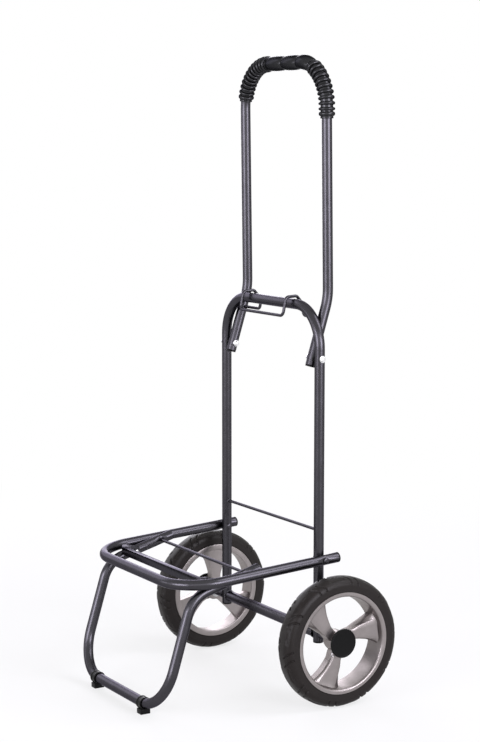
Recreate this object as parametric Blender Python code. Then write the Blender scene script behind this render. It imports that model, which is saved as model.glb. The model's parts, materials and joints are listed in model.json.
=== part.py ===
"""Folding transport trolley: a bent-tube rear frame on two wheels, a handle that folds down behind it,
a spring-wire lock clip, and a platform that folds up in front with its stand.

X runs across the trolley, -Y is the front (the platform's side) and +Z is up.
The origin is on the floor, in the middle of the whole trolley. Lengths are in metres.
"""

import math

import bmesh
import bpy
from mathutils import Matrix, Vector

# Clearances
GAP = 0.0003                 # between two pieces that touch
PIN_PLAY = 0.0005            # round a pin or shaft in its hole

# Tube of the frames
TUBE_R = 0.0082              # 16 mm tube with its coat of paint
TUBE_WALL = 0.0012
TUBE_SIDES = 12
BEND_STEPS = 5
PIN_SIDES = 12               # pins and drills
FASTENER_SIDES = 16
HUB_SIDES = 24
DRILL_PHASE = math.radians(7)    # keeps a drill's edges off the tube's own
CRIMP_RINGS = 3              # on each side of a crimp's middle
CRIMP_POWER = 0.5            # below 1 gives the crimp a flat middle
MERGE = 1e-6
SHARP_ANGLE = math.radians(40)
EMPTY_SIZE = 0.03

# Rear frame: an arch whose two legs stand on the axle
FRAME_WIDTH = 0.2886         # between the legs' centre lines
ARCH_Z = 0.6266
ARCH_BEND_R = 0.066
LEG_TOE = 0.0040             # leg tube left below the axle tube
BACK_ROD_Z = 0.2713
BACK_ROD_R = 0.0025

# Wheels and axle
WHEEL_R = 0.104
TYRE_WIDTH = 0.0364
WHEEL_SIDE_GAP = 0.0131      # from the platform arm to the tyre
AXLE_TUBE_R = 0.0090
AXLE_R = 0.0050
AXLE_NOSE = 0.0008           # bevel of the axle rod's ends
AXLE_SLEEVE_R = 0.0072
TYRE_SEAT_R = 0.0816         # where rubber meets rim at the side
TYRE_TONGUE_R = 0.0768
TYRE_TONGUE_HALF = 0.0120
TYRE_SHOULDER = ((0, 0.0085), (0.0008, 0.0060), (0.0022, 0.0037), (0.0062, 0.0009))    # in, and down
TYRE_CROWN_HALF = 0.0060
RIM_FRONT_R = 0.0738
RIM_BACK_R = 0.0717
RIM_LIP_ROUND = 0.0016
RIM_LIP_FALL = 0.0022
HUB_R = 0.0170
HUB_FACE = 0.0135            # hub's front face, out from the wheel's middle plane
HUB_TAPER_LENGTH = 0.0060    # the hub's back end narrows
HUB_TAPER = 0.0020
BUSH_WALL = 0.0022
CAP_R = 0.0232
CAP_THICK = 0.0030
CAP_BACK_EDGE = 0.0008
CAP_FRONT_EDGE = 0.0012
WASHER_R = 0.0110
WASHER_THICK = 0.0012
CLIP_SLOT = 0.0016           # between hub and cap, for the wheel clip's wire
CAP_BOSS_R = 0.0125
SPOKE_COUNT = 3
SPOKE_FRONT = 0.0068         # spoke's front panel, out from the wheel's middle plane
SPOKE_BACK = -0.0105
SPOKE_SHOULDER = 0.0050      # how far back the front panel's two sloping shoulders reach
SPOKE_STRAIGHT_EDGE = ((0.0130, 45), (0.030, 24.5), (0.052, 20.5), (0.0753, 19.5))    # (radius, degrees)
SPOKE_PANEL_LINE = ((0.0130, 43), (0.030, 23.5), (0.052, 16.5), (0.0753, 11.3))
SPOKE_RIDGE = ((0.0130, 0), (0.030, -4.7), (0.052, -10.3), (0.0753, -13))
SPOKE_HOLLOW_EDGE = ((0.0130, -22), (0.030, -11), (0.052, -14.5), (0.0753, -21))
WIRE_R = 0.0006
WIRE_SIDES = 6
WIRE_TIP_R = 0.0290          # how far the wheel clip's bend stands out from the axle
WIRE_TURN = math.radians(222)
WHEEL_SIDES = 36
RIGHT_WHEEL_TURN = math.radians(10.5)
LEFT_WHEEL_TURN = math.radians(-29)

# Handle
HANDLE_SPACER = 0.0041       # washer between leg and handle tube
HANDLE_SPACER_R = 0.0065
HANDLE_PIVOT_DROP = 0.0810   # bolts below the arch's top bar
HANDLE_TAIL = 0.0125         # tube left below the bolt
HANDLE_KNEE_BACK = 0.0289
HANDLE_KNEE_UP = 0.0934
HANDLE_KNEE_R = 0.100
HANDLE_TOP_Z = 1.0094
HANDLE_TOP_BACK = 0.0235
HANDLE_BEND_R = 0.071
BOLT_R = 0.0030
BOLT_HEAD_R = 0.0055
BOLT_HEAD = 0.0034
NUT_R = 0.0058
NUT_LENGTH = 0.0068
NUT_CROWN = 0.0020           # nut left past the bolt's tip
DOME = ((0, 1), (0.45, 1), (0.85, 0.7), (1, 0.3))    # shares of a head's height and radius

# Grip: three bulges in the middle and a ribbed sleeve on each side
GRIP_JOINTS = (-0.0440, 0.0034, 0.0465, 0.0840)
BULGE_R = 0.0122
BULGE_WAIST_R = 0.0112
BULGE_MARKS = (0.25, 0.5, 0.75)    # where a bulge has its full radius
SLEEVE_RIB_R = 0.0134
SLEEVE_ROOT_R = 0.0109
LEFT_RIBS = 11
RIGHT_RIBS = 10
LEFT_SLEEVE = 0.1075
RIGHT_SLEEVE = 0.0980
GRIP_JOINT = 0.0009          # groove between two grip pieces
GRIP_STEPS = 60
GRIP_SIDES = 12
SLEEVE_SIDES = 8

# Lock clip of spring wire
CLIP_R = 0.0025
CLIP_X = 0.0660
CLIP_PIN_UP = 0.0615         # clip's pins above the handle's bolts
CLIP_RISE = 0.0010           # front bar above the pins
CLIP_PLAY = 0.0006
CLIP_CORNER_R = 0.0075
CLIP_TOP_R = 0.0060
CLIP_FRONT_TOP = (-0.0134, 0.0112)    # hook's bends, (back, up) from the arch's centre line
CLIP_REAR_TOP = (0.0065, 0.0124)
CLIP_REAR_DOWN = 0.0020      # where the hook's rear run turns down to the pins
CLIP_SIDES = 8
CLIP_STEPS = 4

# Platform: a U of tube whose arms pass outside the legs
PLATFORM_PIVOT_Z = 0.2262
PLATFORM_REACH = 0.2541
PLATFORM_DROP = 0.0170
PLATFORM_TAIL = 0.0245
PLATFORM_BEND_R = 0.068
ARM_CRIMP_HALF = 0.0070      # half the arm's thickness where it is pinched for the rivet
ARM_CRIMP_SPAN = 0.0150
RIVET_R = 0.0028
RIVET_HEAD_R = 0.0050
RIVET_HEAD = 0.0016
RIVET_TOP = 0.5              # share of a rivet head's radius that is flat

# Stand: a second U inside the platform's arms
STAND_SIDE_GAP = 0.0009
STAND_ROD_REACH = 0.1325
STAND_ROD_R = 0.0025
STAND_TAIL = 0.0225
STAND_KNEE_REACH = 0.2293
STAND_KNEE_Z = 0.1908
STAND_KNEE_R = 0.050
STAND_FOOT_REACH = 0.2825
STAND_BAR_Z = 0.0168
STAND_BEND_R = 0.066
STAND_CRIMP_HALF = 0.0058
STAND_CRIMP_SPAN = 0.0110
FOOT_INSET = 0.0625          # from the stand's side run in to a foot's middle
FOOT_LENGTH = 0.0140
FOOT_WALL = 0.0018
FOOT_SOLE_HALF = 0.0084      # half the sole, front to back

# Angle strip across the stand, with a tab at each end riveted to the inner side of the tube
STRIP_REACH = 0.2090         # strip's front face
STRIP_HEIGHT = 0.0125
STRIP_DEPTH = 0.0085
STRIP_SHEET = 0.0015
STRIP_RISE = 0.0180          # strip's top above the stand tube's centre line
STRIP_TAB_RISE = 0.0040      # tab's front corner above the strip's top
STRIP_TAB_LENGTH = 0.0350
STRIP_TAB_TAIL = 0.0065      # half height of the tab's rear end
STRIP_RIVET_R = 0.0020
STRIP_RIVET_HEAD_R = 0.0036
STRIP_RIVET_HEAD = 0.0016

# Plugs in the tube ends
PLUG_FLANGE = 0.0020
PLUG_TOP = 0.85              # share of the tube's radius that is flat on the flange

# Places worked out from the sizes above
LEG_X = FRAME_WIDTH / 2
HANDLE_PIVOT_Z = ARCH_Z - HANDLE_PIVOT_DROP
FOOT_R = TUBE_R + GAP + FOOT_WALL
LEG_Y = (STAND_FOOT_REACH + FOOT_R - WHEEL_R) / 2
AXLE_Z = WHEEL_R
BORE_R = TUBE_R - TUBE_WALL
HANDLE_X = LEG_X - 2 * TUBE_R - HANDLE_SPACER - 2 * GAP
ARM_X = LEG_X + TUBE_R + GAP + ARM_CRIMP_HALF
STAND_X = ARM_X - 2 * TUBE_R - STAND_SIDE_GAP
FOOT_X = STAND_X - FOOT_INSET
WHEEL_X = ARM_X + TUBE_R + WHEEL_SIDE_GAP + TYRE_WIDTH / 2
HUB_BACK = -TYRE_WIDTH / 2
SIDES = (("left", -1), ("right", 1))

PAINT = ("anthracite_paint", (0.075, 0.073, 0.090), 0.35, 0.6)
CHROME = ("chrome", (0.75, 0.75, 0.76), 0.15, 1.0)
STEEL = ("zinc_steel", (0.45, 0.45, 0.46), 0.35, 1.0)
RUBBER = ("tyre_rubber", (0.035, 0.033, 0.032), 0.75, 0.0)
GRIP = ("grip_vinyl", (0.012, 0.012, 0.013), 0.3, 0.0)
SILVER = ("rim_silver", (0.38, 0.37, 0.37), 0.35, 0.5)
BLACK = ("black_plastic", (0.015, 0.015, 0.015), 0.5, 0.0)
NYLON = ("nylon", (0.55, 0.55, 0.52), 0.5, 0.0)


def clear_scene():
    for old in list(bpy.data.objects):
        bpy.data.objects.remove(old, do_unlink=True)


def material(finish):
    name, colour, roughness, metallic = finish
    found = bpy.data.materials.get(name)
    if found:
        return found
    made = bpy.data.materials.new(name)
    made.use_nodes = True
    shader = made.node_tree.nodes["Principled BSDF"]
    shader.inputs["Base Color"].default_value = (*colour, 1)
    shader.inputs["Roughness"].default_value = roughness
    shader.inputs["Metallic"].default_value = metallic
    made.diffuse_color = (*colour, 1)
    return made


def place(name, mesh, finish):
    """Links a mesh as the object of one node, smooth where it is round."""
    mesh.name = name
    mesh.materials.clear()
    mesh.materials.append(material(finish))
    mesh.shade_smooth()
    mesh.set_sharp_from_angle(angle=SHARP_ANGLE)
    piece = bpy.data.objects.new(name, mesh)
    bpy.context.collection.objects.link(piece)
    return piece


def from_bmesh(name, shape, finish):
    bmesh.ops.remove_doubles(shape, verts=shape.verts, dist=MERGE)
    bmesh.ops.recalc_face_normals(shape, faces=shape.faces)
    mesh = bpy.data.meshes.new(name)
    shape.to_mesh(mesh)
    shape.free()
    return place(name, mesh, finish)


def settle(piece):
    """Replaces the mesh by the one that the modifiers give, and clears the modifiers."""
    graph = bpy.context.evaluated_depsgraph_get()
    mesh = bpy.data.meshes.new_from_object(piece.evaluated_get(graph))
    piece.modifiers.clear()
    piece.data = mesh
    mesh.name = piece.name
    return piece


def combine(piece, others, operation):
    """Cuts the others out of a piece, or joins them to it."""
    for other in others:
        modifier = piece.modifiers.new(operation.lower(), "BOOLEAN")
        modifier.operation = operation
        modifier.solver = "EXACT"
        modifier.object = other
        settle(piece)
        bpy.data.objects.remove(other, do_unlink=True)
    return piece


def rounded_path(corners, bends, steps=BEND_STEPS):
    """Straight runs between corners, with an arc of the given radius at each inner corner."""
    points = [corners[0].copy()]
    for before, corner, after, radius in zip(corners, corners[1:], corners[2:], bends):
        inward = (before - corner).normalized()
        onward = (after - corner).normalized()
        half = inward.angle(onward) / 2
        centre = corner + (inward + onward).normalized() * radius / math.sin(half)
        arm = corner + inward * radius / math.tan(half) - centre
        axis = inward.cross(onward).normalized()
        sweep = math.pi - 2 * half
        for step in range(steps + 1):
            points.append(centre + Matrix.Rotation(-sweep * step / steps, 3, axis) @ arm)
    points.append(corners[-1].copy())
    return points


def mirror_route(corners):
    """A half route that ends at the middle plane's near side, carried on to the other side."""
    return corners + [Vector((-p.x, p.y, p.z)) for p in reversed(corners)]


def swept(name, points, radius, finish, sides=TUBE_SIDES, caps=True, radii=None):
    """A round bar along the points. Radii gives its own radius at each point."""
    curve = bpy.data.curves.new(name, "CURVE")
    curve.dimensions = "3D"
    curve.bevel_depth = radius
    curve.bevel_resolution = (sides - 4) // 2
    curve.use_fill_caps = caps
    line = curve.splines.new("POLY")
    line.points.add(len(points) - 1)
    for index, point in enumerate(points):
        line.points[index].co = (*point, 1)
        line.points[index].radius = radii[index] / radius if radii else 1
    guide = bpy.data.objects.new(name, curve)
    bpy.context.collection.objects.link(guide)
    graph = bpy.context.evaluated_depsgraph_get()
    mesh = bpy.data.meshes.new_from_object(guide.evaluated_get(graph))
    bpy.data.objects.remove(guide, do_unlink=True)
    shape = bmesh.new()
    shape.from_mesh(mesh)
    return from_bmesh(name, shape, finish)


def hollow_tube(name, points, finish, pinch=None):
    """A tube with open ends. Pinch moves the vertices of its skin before the wall is made."""
    tube = swept(name, points, TUBE_R, finish, caps=False)
    if pinch:
        for vertex in tube.data.vertices:
            pinch(vertex.co)
    wall = tube.modifiers.new("wall", "SOLIDIFY")
    wall.thickness = TUBE_WALL
    wall.offset = -1
    wall.use_even_offset = True
    return settle(tube)


def crimp(centre, line, middle_x, thin_half, span):
    """Returns a function that pinches a tube across X near a point on its line."""
    squeeze = 1 - thin_half / TUBE_R

    def pinch(co):
        side = math.copysign(1, co.x)
        along = abs((co - Vector((co.x, centre.y, centre.z))).dot(line))
        if along > span:
            return
        share = 0.5 + 0.5 * math.cos(math.pi * along / span)
        middle = side * middle_x
        co.x = middle + (co.x - middle) * (1 - squeeze * share ** CRIMP_POWER)

    return pinch


def turned(name, profile, finish, middle, sides=FASTENER_SIDES, closed=False, phase=0.0):
    """Spins (x, radius) points about the X axis through the middle point."""
    shape = bmesh.new()
    up = Matrix.Rotation(phase, 3, "X") @ Vector((0, 0, 1))
    verts = [shape.verts.new(middle + Vector((x, 0, 0)) + up * r) for x, r in profile]
    pairs = list(zip(verts, verts[1:]))
    if closed:
        pairs.append((verts[-1], verts[0]))
    edges = [shape.edges.new(pair) for pair in pairs]
    bmesh.ops.spin(
        shape, geom=verts + edges, cent=middle, axis=(1, 0, 0), angle=2 * math.pi,
        steps=sides, use_merge=True,
    )
    return from_bmesh(name, shape, finish)


def cross_pin(name, radius, start_x, end_x, y, z, finish, phase=0.0):
    """A plain round pin along X."""
    low, high = sorted((start_x, end_x))
    profile = [(low, 0), (low, radius), (high, radius), (high, 0)]
    return turned(name, profile, finish, Vector((0, y, z)), PIN_SIDES, phase=phase)


def box(name, low, high, finish):
    shape = bmesh.new()
    size = Vector(high) - Vector(low)
    centre = (Vector(high) + Vector(low)) / 2
    matrix = Matrix.Translation(centre) @ Matrix.Diagonal((*size, 1))
    bmesh.ops.create_cube(shape, size=1, matrix=matrix)
    return from_bmesh(name, shape, finish)


def holes(tube, radius, spans, y, z):
    """Drills along X through a tube, once for each pair of X limits."""
    cutters = [cross_pin("drill", radius, a, b, y, z, STEEL, phase=DRILL_PHASE) for a, b in spans]
    return combine(tube, cutters, "DIFFERENCE")


def both_sides(inner, outer):
    return [(side * inner, side * outer) for _, side in SIDES]


def axis_empty(name, location, pieces):
    """An empty on a joint's axis that carries the pieces of the moving body."""
    empty = bpy.data.objects.new(name, None)
    empty.location = location
    empty.empty_display_size = EMPTY_SIZE
    bpy.context.collection.objects.link(empty)
    for piece in pieces:
        piece.parent = empty
        piece.matrix_parent_inverse = Matrix.Translation(location).inverted()
    return empty


def domed(seat, height, radius, steps=DOME):
    """(x, radius) points of a rounded head that stands on its seat. A negative height points to -X."""
    return [(seat + height * up, radius * share) for up, share in steps] + [(seat + height, 0)]


def flat_headed(seat, height, radius):
    """(x, radius) points of a rivet's head, from its seat outwards."""
    return domed(seat, height, radius, ((0, 1), (1, RIVET_TOP)))


def mirrored(profile, side):
    return [(side * x, r) for x, r in profile]


def tube_plug(name, end, outward, depth):
    """A plug pushed into a tube's end: a stem in the bore and a flange over the rim."""
    stem_r = BORE_R * math.cos(math.pi / TUBE_SIDES) - GAP
    outer = GAP + PLUG_FLANGE
    stem = [(-depth, 0), (-depth, stem_r), (GAP, stem_r)]
    profile = stem + [(GAP, TUBE_R), (outer, TUBE_R * PLUG_TOP), (outer, 0)]
    plug = turned(name, profile, BLACK, Vector((0, 0, 0)), TUBE_SIDES)
    turn = Vector((1, 0, 0)).rotation_difference(outward).to_matrix().to_4x4()
    plug.data.transform(Matrix.Translation(end) @ turn)
    return plug


def rear_frame():
    """The arch with its legs, the thin rod across the back and the plugs in the leg ends."""
    toe = Vector((LEG_X, LEG_Y, AXLE_Z - AXLE_TUBE_R - LEG_TOE))
    route = mirror_route([toe, Vector((LEG_X, LEG_Y, ARCH_Z))])
    arch = hollow_tube("rear_frame_tube", rounded_path(route, [ARCH_BEND_R] * 2), PAINT)
    outside = LEG_X + 2 * TUBE_R
    inside = LEG_X - 2 * TUBE_R
    through = both_sides(inside, outside)
    holes(arch, AXLE_R + PIN_PLAY, through, LEG_Y, AXLE_Z)
    holes(arch, RIVET_R + PIN_PLAY, through, LEG_Y, PLATFORM_PIVOT_Z)
    holes(arch, BOLT_R + PIN_PLAY, through, LEG_Y, HANDLE_PIVOT_Z)
    holes(arch, BACK_ROD_R + PIN_PLAY, both_sides(inside, LEG_X), LEG_Y, BACK_ROD_Z)
    cross_pin("back_cross_rod", BACK_ROD_R, -LEG_X + GAP, LEG_X - GAP, LEG_Y, BACK_ROD_Z, PAINT)
    depth = LEG_TOE + AXLE_TUBE_R - AXLE_R - PIN_PLAY
    for word, side in SIDES:
        end = Vector((side * toe.x, toe.y, toe.z))
        tube_plug(f"leg_plug_{word}", end, Vector((0, 0, -1)), depth)


def spacer_ring(start, end, bore, outer):
    """The closed (x, radius) outline of a ring's wall."""
    return [(start, bore), (start, outer), (end, outer), (end, bore)]


def axle():
    """The axle rod, the tube round it between the legs, and a sleeve and washer on each side."""
    centre = Vector((0, LEG_Y, AXLE_Z))
    tube_half = LEG_X - TUBE_R - GAP
    bore = AXLE_R + PIN_PLAY
    ring = spacer_ring(-tube_half, tube_half, bore, AXLE_TUBE_R)
    turned("axle_tube", ring, PAINT, centre, closed=True)
    rod_half = WHEEL_X + HUB_FACE - GAP
    rod_end = [(rod_half - AXLE_NOSE, AXLE_R), (rod_half, AXLE_R - AXLE_NOSE), (rod_half, 0)]
    turned("axle_rod", mirrored(reversed(rod_end), -1) + rod_end, STEEL, centre)
    hub_back = WHEEL_X + HUB_BACK
    washer_out = hub_back - GAP
    washer_in = washer_out - WASHER_THICK
    sleeve_in = LEG_X + TUBE_R + GAP
    sleeve_out = washer_in - GAP
    for word, side in SIDES:
        sleeve = spacer_ring(side * sleeve_in, side * sleeve_out, bore, AXLE_SLEEVE_R)
        turned(f"axle_sleeve_{word}", sleeve, PAINT, centre, closed=True)
        washer = spacer_ring(side * washer_in, side * washer_out, bore, WASHER_R)
        turned(f"wheel_washer_{word}", washer, STEEL, centre, closed=True)


def bolts():
    """Bolt, cap nut and spacer washer of each handle pivot, and the platform's rivets."""
    pivot = Vector((0, LEG_Y, HANDLE_PIVOT_Z))
    hinge = Vector((0, LEG_Y, PLATFORM_PIVOT_Z))
    bore = BOLT_R + PIN_PLAY
    leg_in, leg_out = LEG_X - TUBE_R - GAP, LEG_X + TUBE_R + GAP
    nut_seat = HANDLE_X - TUBE_R - GAP
    bolt_tip = nut_seat - NUT_LENGTH + NUT_CROWN
    arm_out = ARM_X + ARM_CRIMP_HALF + GAP
    bolt = [(bolt_tip, 0), (bolt_tip, BOLT_R), (leg_out, BOLT_R)] + domed(leg_out, BOLT_HEAD, BOLT_HEAD_R)
    well = bolt_tip - PIN_PLAY
    nut = [(well, 0), (well, bore), (nut_seat, bore)] + domed(nut_seat, -NUT_LENGTH, NUT_R)
    spacer = spacer_ring(leg_in, HANDLE_X + TUBE_R + GAP, bore, HANDLE_SPACER_R)
    inner_head = flat_headed(leg_in, -RIVET_HEAD, RIVET_HEAD_R)
    outer_head = flat_headed(arm_out, RIVET_HEAD, RIVET_HEAD_R)
    rivet = inner_head[::-1] + [(leg_in, RIVET_R), (arm_out, RIVET_R)] + outer_head
    for word, side in SIDES:
        turned(f"handle_bolt_{word}", mirrored(bolt, side), CHROME, pivot)
        turned(f"handle_nut_{word}", mirrored(nut, side), CHROME, pivot)
        turned(f"handle_spacer_{word}", mirrored(spacer, side), BLACK, pivot, closed=True)
        turned(f"platform_rivet_{word}", mirrored(rivet, side), PAINT, hinge)


def handle_corners():
    """The near half of the handle's route, from its lower end to the top corner."""
    pivot = Vector((HANDLE_X, LEG_Y, HANDLE_PIVOT_Z))
    knee = pivot + Vector((0, HANDLE_KNEE_BACK, HANDLE_KNEE_UP))
    tail = pivot - (knee - pivot).normalized() * HANDLE_TAIL
    top = Vector((HANDLE_X, LEG_Y + HANDLE_TOP_BACK, HANDLE_TOP_Z))
    return tail, pivot, knee, top


def clip_pin():
    """Where the lock clip's pins go into the handle tubes."""
    tail, pivot, knee, top = handle_corners()
    share = CLIP_PIN_UP / HANDLE_KNEE_UP
    return pivot + (knee - pivot) * share


def handle_route():
    """The whole centre line of the handle's tube."""
    tail, pivot, knee, top = handle_corners()
    corners = mirror_route([tail, knee, top])
    return rounded_path(corners, [HANDLE_KNEE_R, HANDLE_BEND_R, HANDLE_BEND_R, HANDLE_KNEE_R])


def handle():
    """The handle tube with the plugs in its lower ends."""
    tail, pivot, knee, top = handle_corners()
    tube = hollow_tube("handle_tube", handle_route(), PAINT)
    inside, outside = HANDLE_X - 2 * TUBE_R, HANDLE_X + 2 * TUBE_R
    holes(tube, BOLT_R + PIN_PLAY, both_sides(inside, outside), pivot.y, pivot.z)
    pin = clip_pin()
    holes(tube, CLIP_R + PIN_PLAY, both_sides(inside, HANDLE_X), pin.y, pin.z)
    pieces = [tube]
    outward = (tail - pivot).normalized()
    depth = HANDLE_TAIL - BOLT_R - 2 * PIN_PLAY
    for word, side in SIDES:
        end = Vector((side * tail.x, tail.y, tail.z))
        pieces.append(tube_plug(f"handle_plug_{word}", end, outward, depth))
    return pieces


def grip_route():
    """The handle's centre line over the grip, in short steps."""
    tail, pivot, knee, top = handle_corners()
    down = knee.lerp(top, 0.5)
    return rounded_path(mirror_route([down, top]), [HANDLE_BEND_R] * 2, steps=GRIP_STEPS)


def along(route, distance):
    """The point of a route at a distance from its middle, counted towards the right."""
    lengths = [(b - a).length for a, b in zip(route, route[1:])]
    left = sum(lengths) / 2 - distance
    for start, end, length in zip(route, route[1:], lengths):
        if left <= length:
            return start.lerp(end, left / length)
        left -= length
    return route[-1]


def clear_of_tube(piece, route):
    """Cuts a tube's way, with the gap round it, through what it passes."""
    return combine(piece, [swept("way", route, TUBE_R + GAP, BLACK)], "DIFFERENCE")


def grip_piece(name, marks, sides):
    """A grip on the handle, from (distance from the middle, radius) marks. Its ends are square."""
    route = grip_route()
    points = [along(route, distance) for distance, _ in marks]
    radii = [radius for _, radius in marks]
    piece = swept(name, points, max(radii), GRIP, sides=sides, radii=radii)
    return clear_of_tube(piece, handle_route())


def ribbed_sleeve(name, start, end, ribs):
    """A corrugated sleeve with a short square collar at each end."""
    collar = math.copysign(GRIP_JOINT, end - start)
    marks = [(start, SLEEVE_ROOT_R), (start + collar, SLEEVE_ROOT_R)]
    pitch = (end - start - 2 * collar) / ribs
    for rib in range(ribs):
        root = start + collar + pitch * rib
        marks += [(root + pitch / 2, SLEEVE_RIB_R), (root + pitch, SLEEVE_ROOT_R)]
    marks.append((end, SLEEVE_ROOT_R))
    return grip_piece(name, marks, SLEEVE_SIDES)


def grip():
    """The bulged middle and the two ribbed sleeves, which the tube passes through."""
    left, first, second, right = GRIP_JOINTS
    marks = [(left, BULGE_WAIST_R)]
    for start, end in ((left, first), (first, second), (second, right)):
        swell = [(start + (end - start) * share, BULGE_R) for share in BULGE_MARKS]
        marks += [(start + GRIP_JOINT, BULGE_WAIST_R)] + swell + [(end - GRIP_JOINT, BULGE_WAIST_R)]
    marks.append((right, BULGE_WAIST_R))
    return [
        grip_piece("grip_centre", marks, GRIP_SIDES),
        ribbed_sleeve("grip_sleeve_left", left - GRIP_JOINT, left - LEFT_SLEEVE, LEFT_RIBS),
        ribbed_sleeve("grip_sleeve_right", right + GRIP_JOINT, right + RIGHT_SLEEVE, RIGHT_RIBS),
    ]


def lock_clip():
    """A wire bail pinned in the handle tubes that hooks over the arch's top bar."""
    pin = clip_pin()
    bar = Vector((pin.x, LEG_Y, ARCH_Z))
    swing = (bar - pin).length + TUBE_R + CLIP_R + CLIP_PLAY
    front = pin + Vector((0, -math.sqrt(swing ** 2 - CLIP_RISE ** 2), CLIP_RISE))
    tip = HANDLE_X - BORE_R / 2
    tops = [Vector((CLIP_X, LEG_Y + back, ARCH_Z + up)) for back, up in (CLIP_REAR_TOP, CLIP_FRONT_TOP)]
    corners = mirror_route([
        Vector((tip, pin.y, pin.z)),
        Vector((CLIP_X, pin.y, pin.z)),
        Vector((CLIP_X, pin.y, ARCH_Z - CLIP_REAR_DOWN)),
        *tops,
        Vector((CLIP_X, front.y, front.z)),
    ])
    bends = [CLIP_CORNER_R, CLIP_TOP_R, CLIP_TOP_R, CLIP_TOP_R, CLIP_CORNER_R]
    path = rounded_path(corners, bends + bends[::-1], steps=CLIP_STEPS)
    return swept("lock_clip", path, CLIP_R, PAINT, sides=CLIP_SIDES)


def crimp_rings(centre, line, span):
    """Rings for the tube's skin where it is pinched."""
    return [centre + line * span * k / CRIMP_RINGS for k in range(-CRIMP_RINGS, CRIMP_RINGS + 1)]


def platform_line():
    """The arms' pivot and the unit vector that runs forward along them."""
    pivot = Vector((ARM_X, LEG_Y, PLATFORM_PIVOT_Z))
    forward = Vector((0, -PLATFORM_REACH, -PLATFORM_DROP)).normalized()
    return pivot, forward


def arm_height(reach):
    """Height of the arms' centre line at a distance in front of the legs."""
    return PLATFORM_PIVOT_Z - PLATFORM_DROP * reach / PLATFORM_REACH


def platform():
    """The platform's tube with its end plugs and the stand's rod."""
    pivot, forward = platform_line()
    tail = pivot - forward * PLATFORM_TAIL
    nose = pivot + Vector((0, -PLATFORM_REACH, -PLATFORM_DROP))
    rings = crimp_rings(pivot, forward, ARM_CRIMP_SPAN)
    half = rounded_path([tail, nose, Vector((0, nose.y, nose.z))], [PLATFORM_BEND_R])
    half = half[:1] + rings + half[1:-1]
    points = half + [Vector((-p.x, p.y, p.z)) for p in reversed(half)]
    pinch = crimp(pivot, forward, ARM_X, ARM_CRIMP_HALF, ARM_CRIMP_SPAN)
    tube = hollow_tube("platform_tube", points, PAINT, pinch)
    inside, outside = ARM_X - 2 * TUBE_R, ARM_X + 2 * TUBE_R
    holes(tube, RIVET_R + PIN_PLAY, both_sides(inside, outside), LEG_Y, PLATFORM_PIVOT_Z)
    rod_y, rod_z = LEG_Y - STAND_ROD_REACH, arm_height(STAND_ROD_REACH)
    holes(tube, STAND_ROD_R + PIN_PLAY, both_sides(inside, ARM_X), rod_y, rod_z)
    pieces = [tube]
    for word, side in SIDES:
        end = Vector((side * tail.x, tail.y, tail.z))
        pieces.append(tube_plug(f"platform_plug_{word}", end, -forward, PLATFORM_TAIL - ARM_CRIMP_SPAN))
    rod_half = ARM_X + BORE_R / 2
    pieces.append(cross_pin("stand_pivot_rod", STAND_ROD_R, -rod_half, rod_half, rod_y, rod_z, PAINT))
    return pieces


def stand_corners():
    """The near half of the stand's route, from its upper end to the bottom corner."""
    rod = Vector((STAND_X, LEG_Y - STAND_ROD_REACH, arm_height(STAND_ROD_REACH)))
    knee = Vector((STAND_X, LEG_Y - STAND_KNEE_REACH, STAND_KNEE_Z))
    tail = rod - (knee - rod).normalized() * STAND_TAIL
    foot = Vector((STAND_X, LEG_Y - STAND_FOOT_REACH, STAND_BAR_Z))
    return tail, rod, knee, foot


def stand_route():
    """The whole centre line of the stand's tube, with rings where it is pinched at the rod."""
    tail, rod, knee, foot = stand_corners()
    rings = crimp_rings(rod, (knee - rod).normalized(), STAND_CRIMP_SPAN)
    half = rounded_path([tail, knee, foot, Vector((0, foot.y, foot.z))], [STAND_KNEE_R, STAND_BEND_R])
    half = half[:1] + rings + half[1:-1]
    return half + [Vector((-p.x, p.y, p.z)) for p in reversed(half)]


def stand():
    """The stand's tube, the clips that it stands on and the strip across it."""
    tail, rod, knee, foot = stand_corners()
    line = (knee - rod).normalized()
    pinch = crimp(rod, line, STAND_X, STAND_CRIMP_HALF, STAND_CRIMP_SPAN)
    tube = hollow_tube("stand_tube", stand_route(), PAINT, pinch)
    inside, outside = STAND_X - 2 * TUBE_R, STAND_X + 2 * TUBE_R
    holes(tube, STAND_ROD_R + PIN_PLAY, both_sides(inside, outside), rod.y, rod.z)
    pieces = [tube]
    for word, side in SIDES:
        pieces.append(foot_clip(f"foot_clip_{word}", side * FOOT_X, foot.y, foot.z))
    return pieces + strip(tube)


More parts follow.
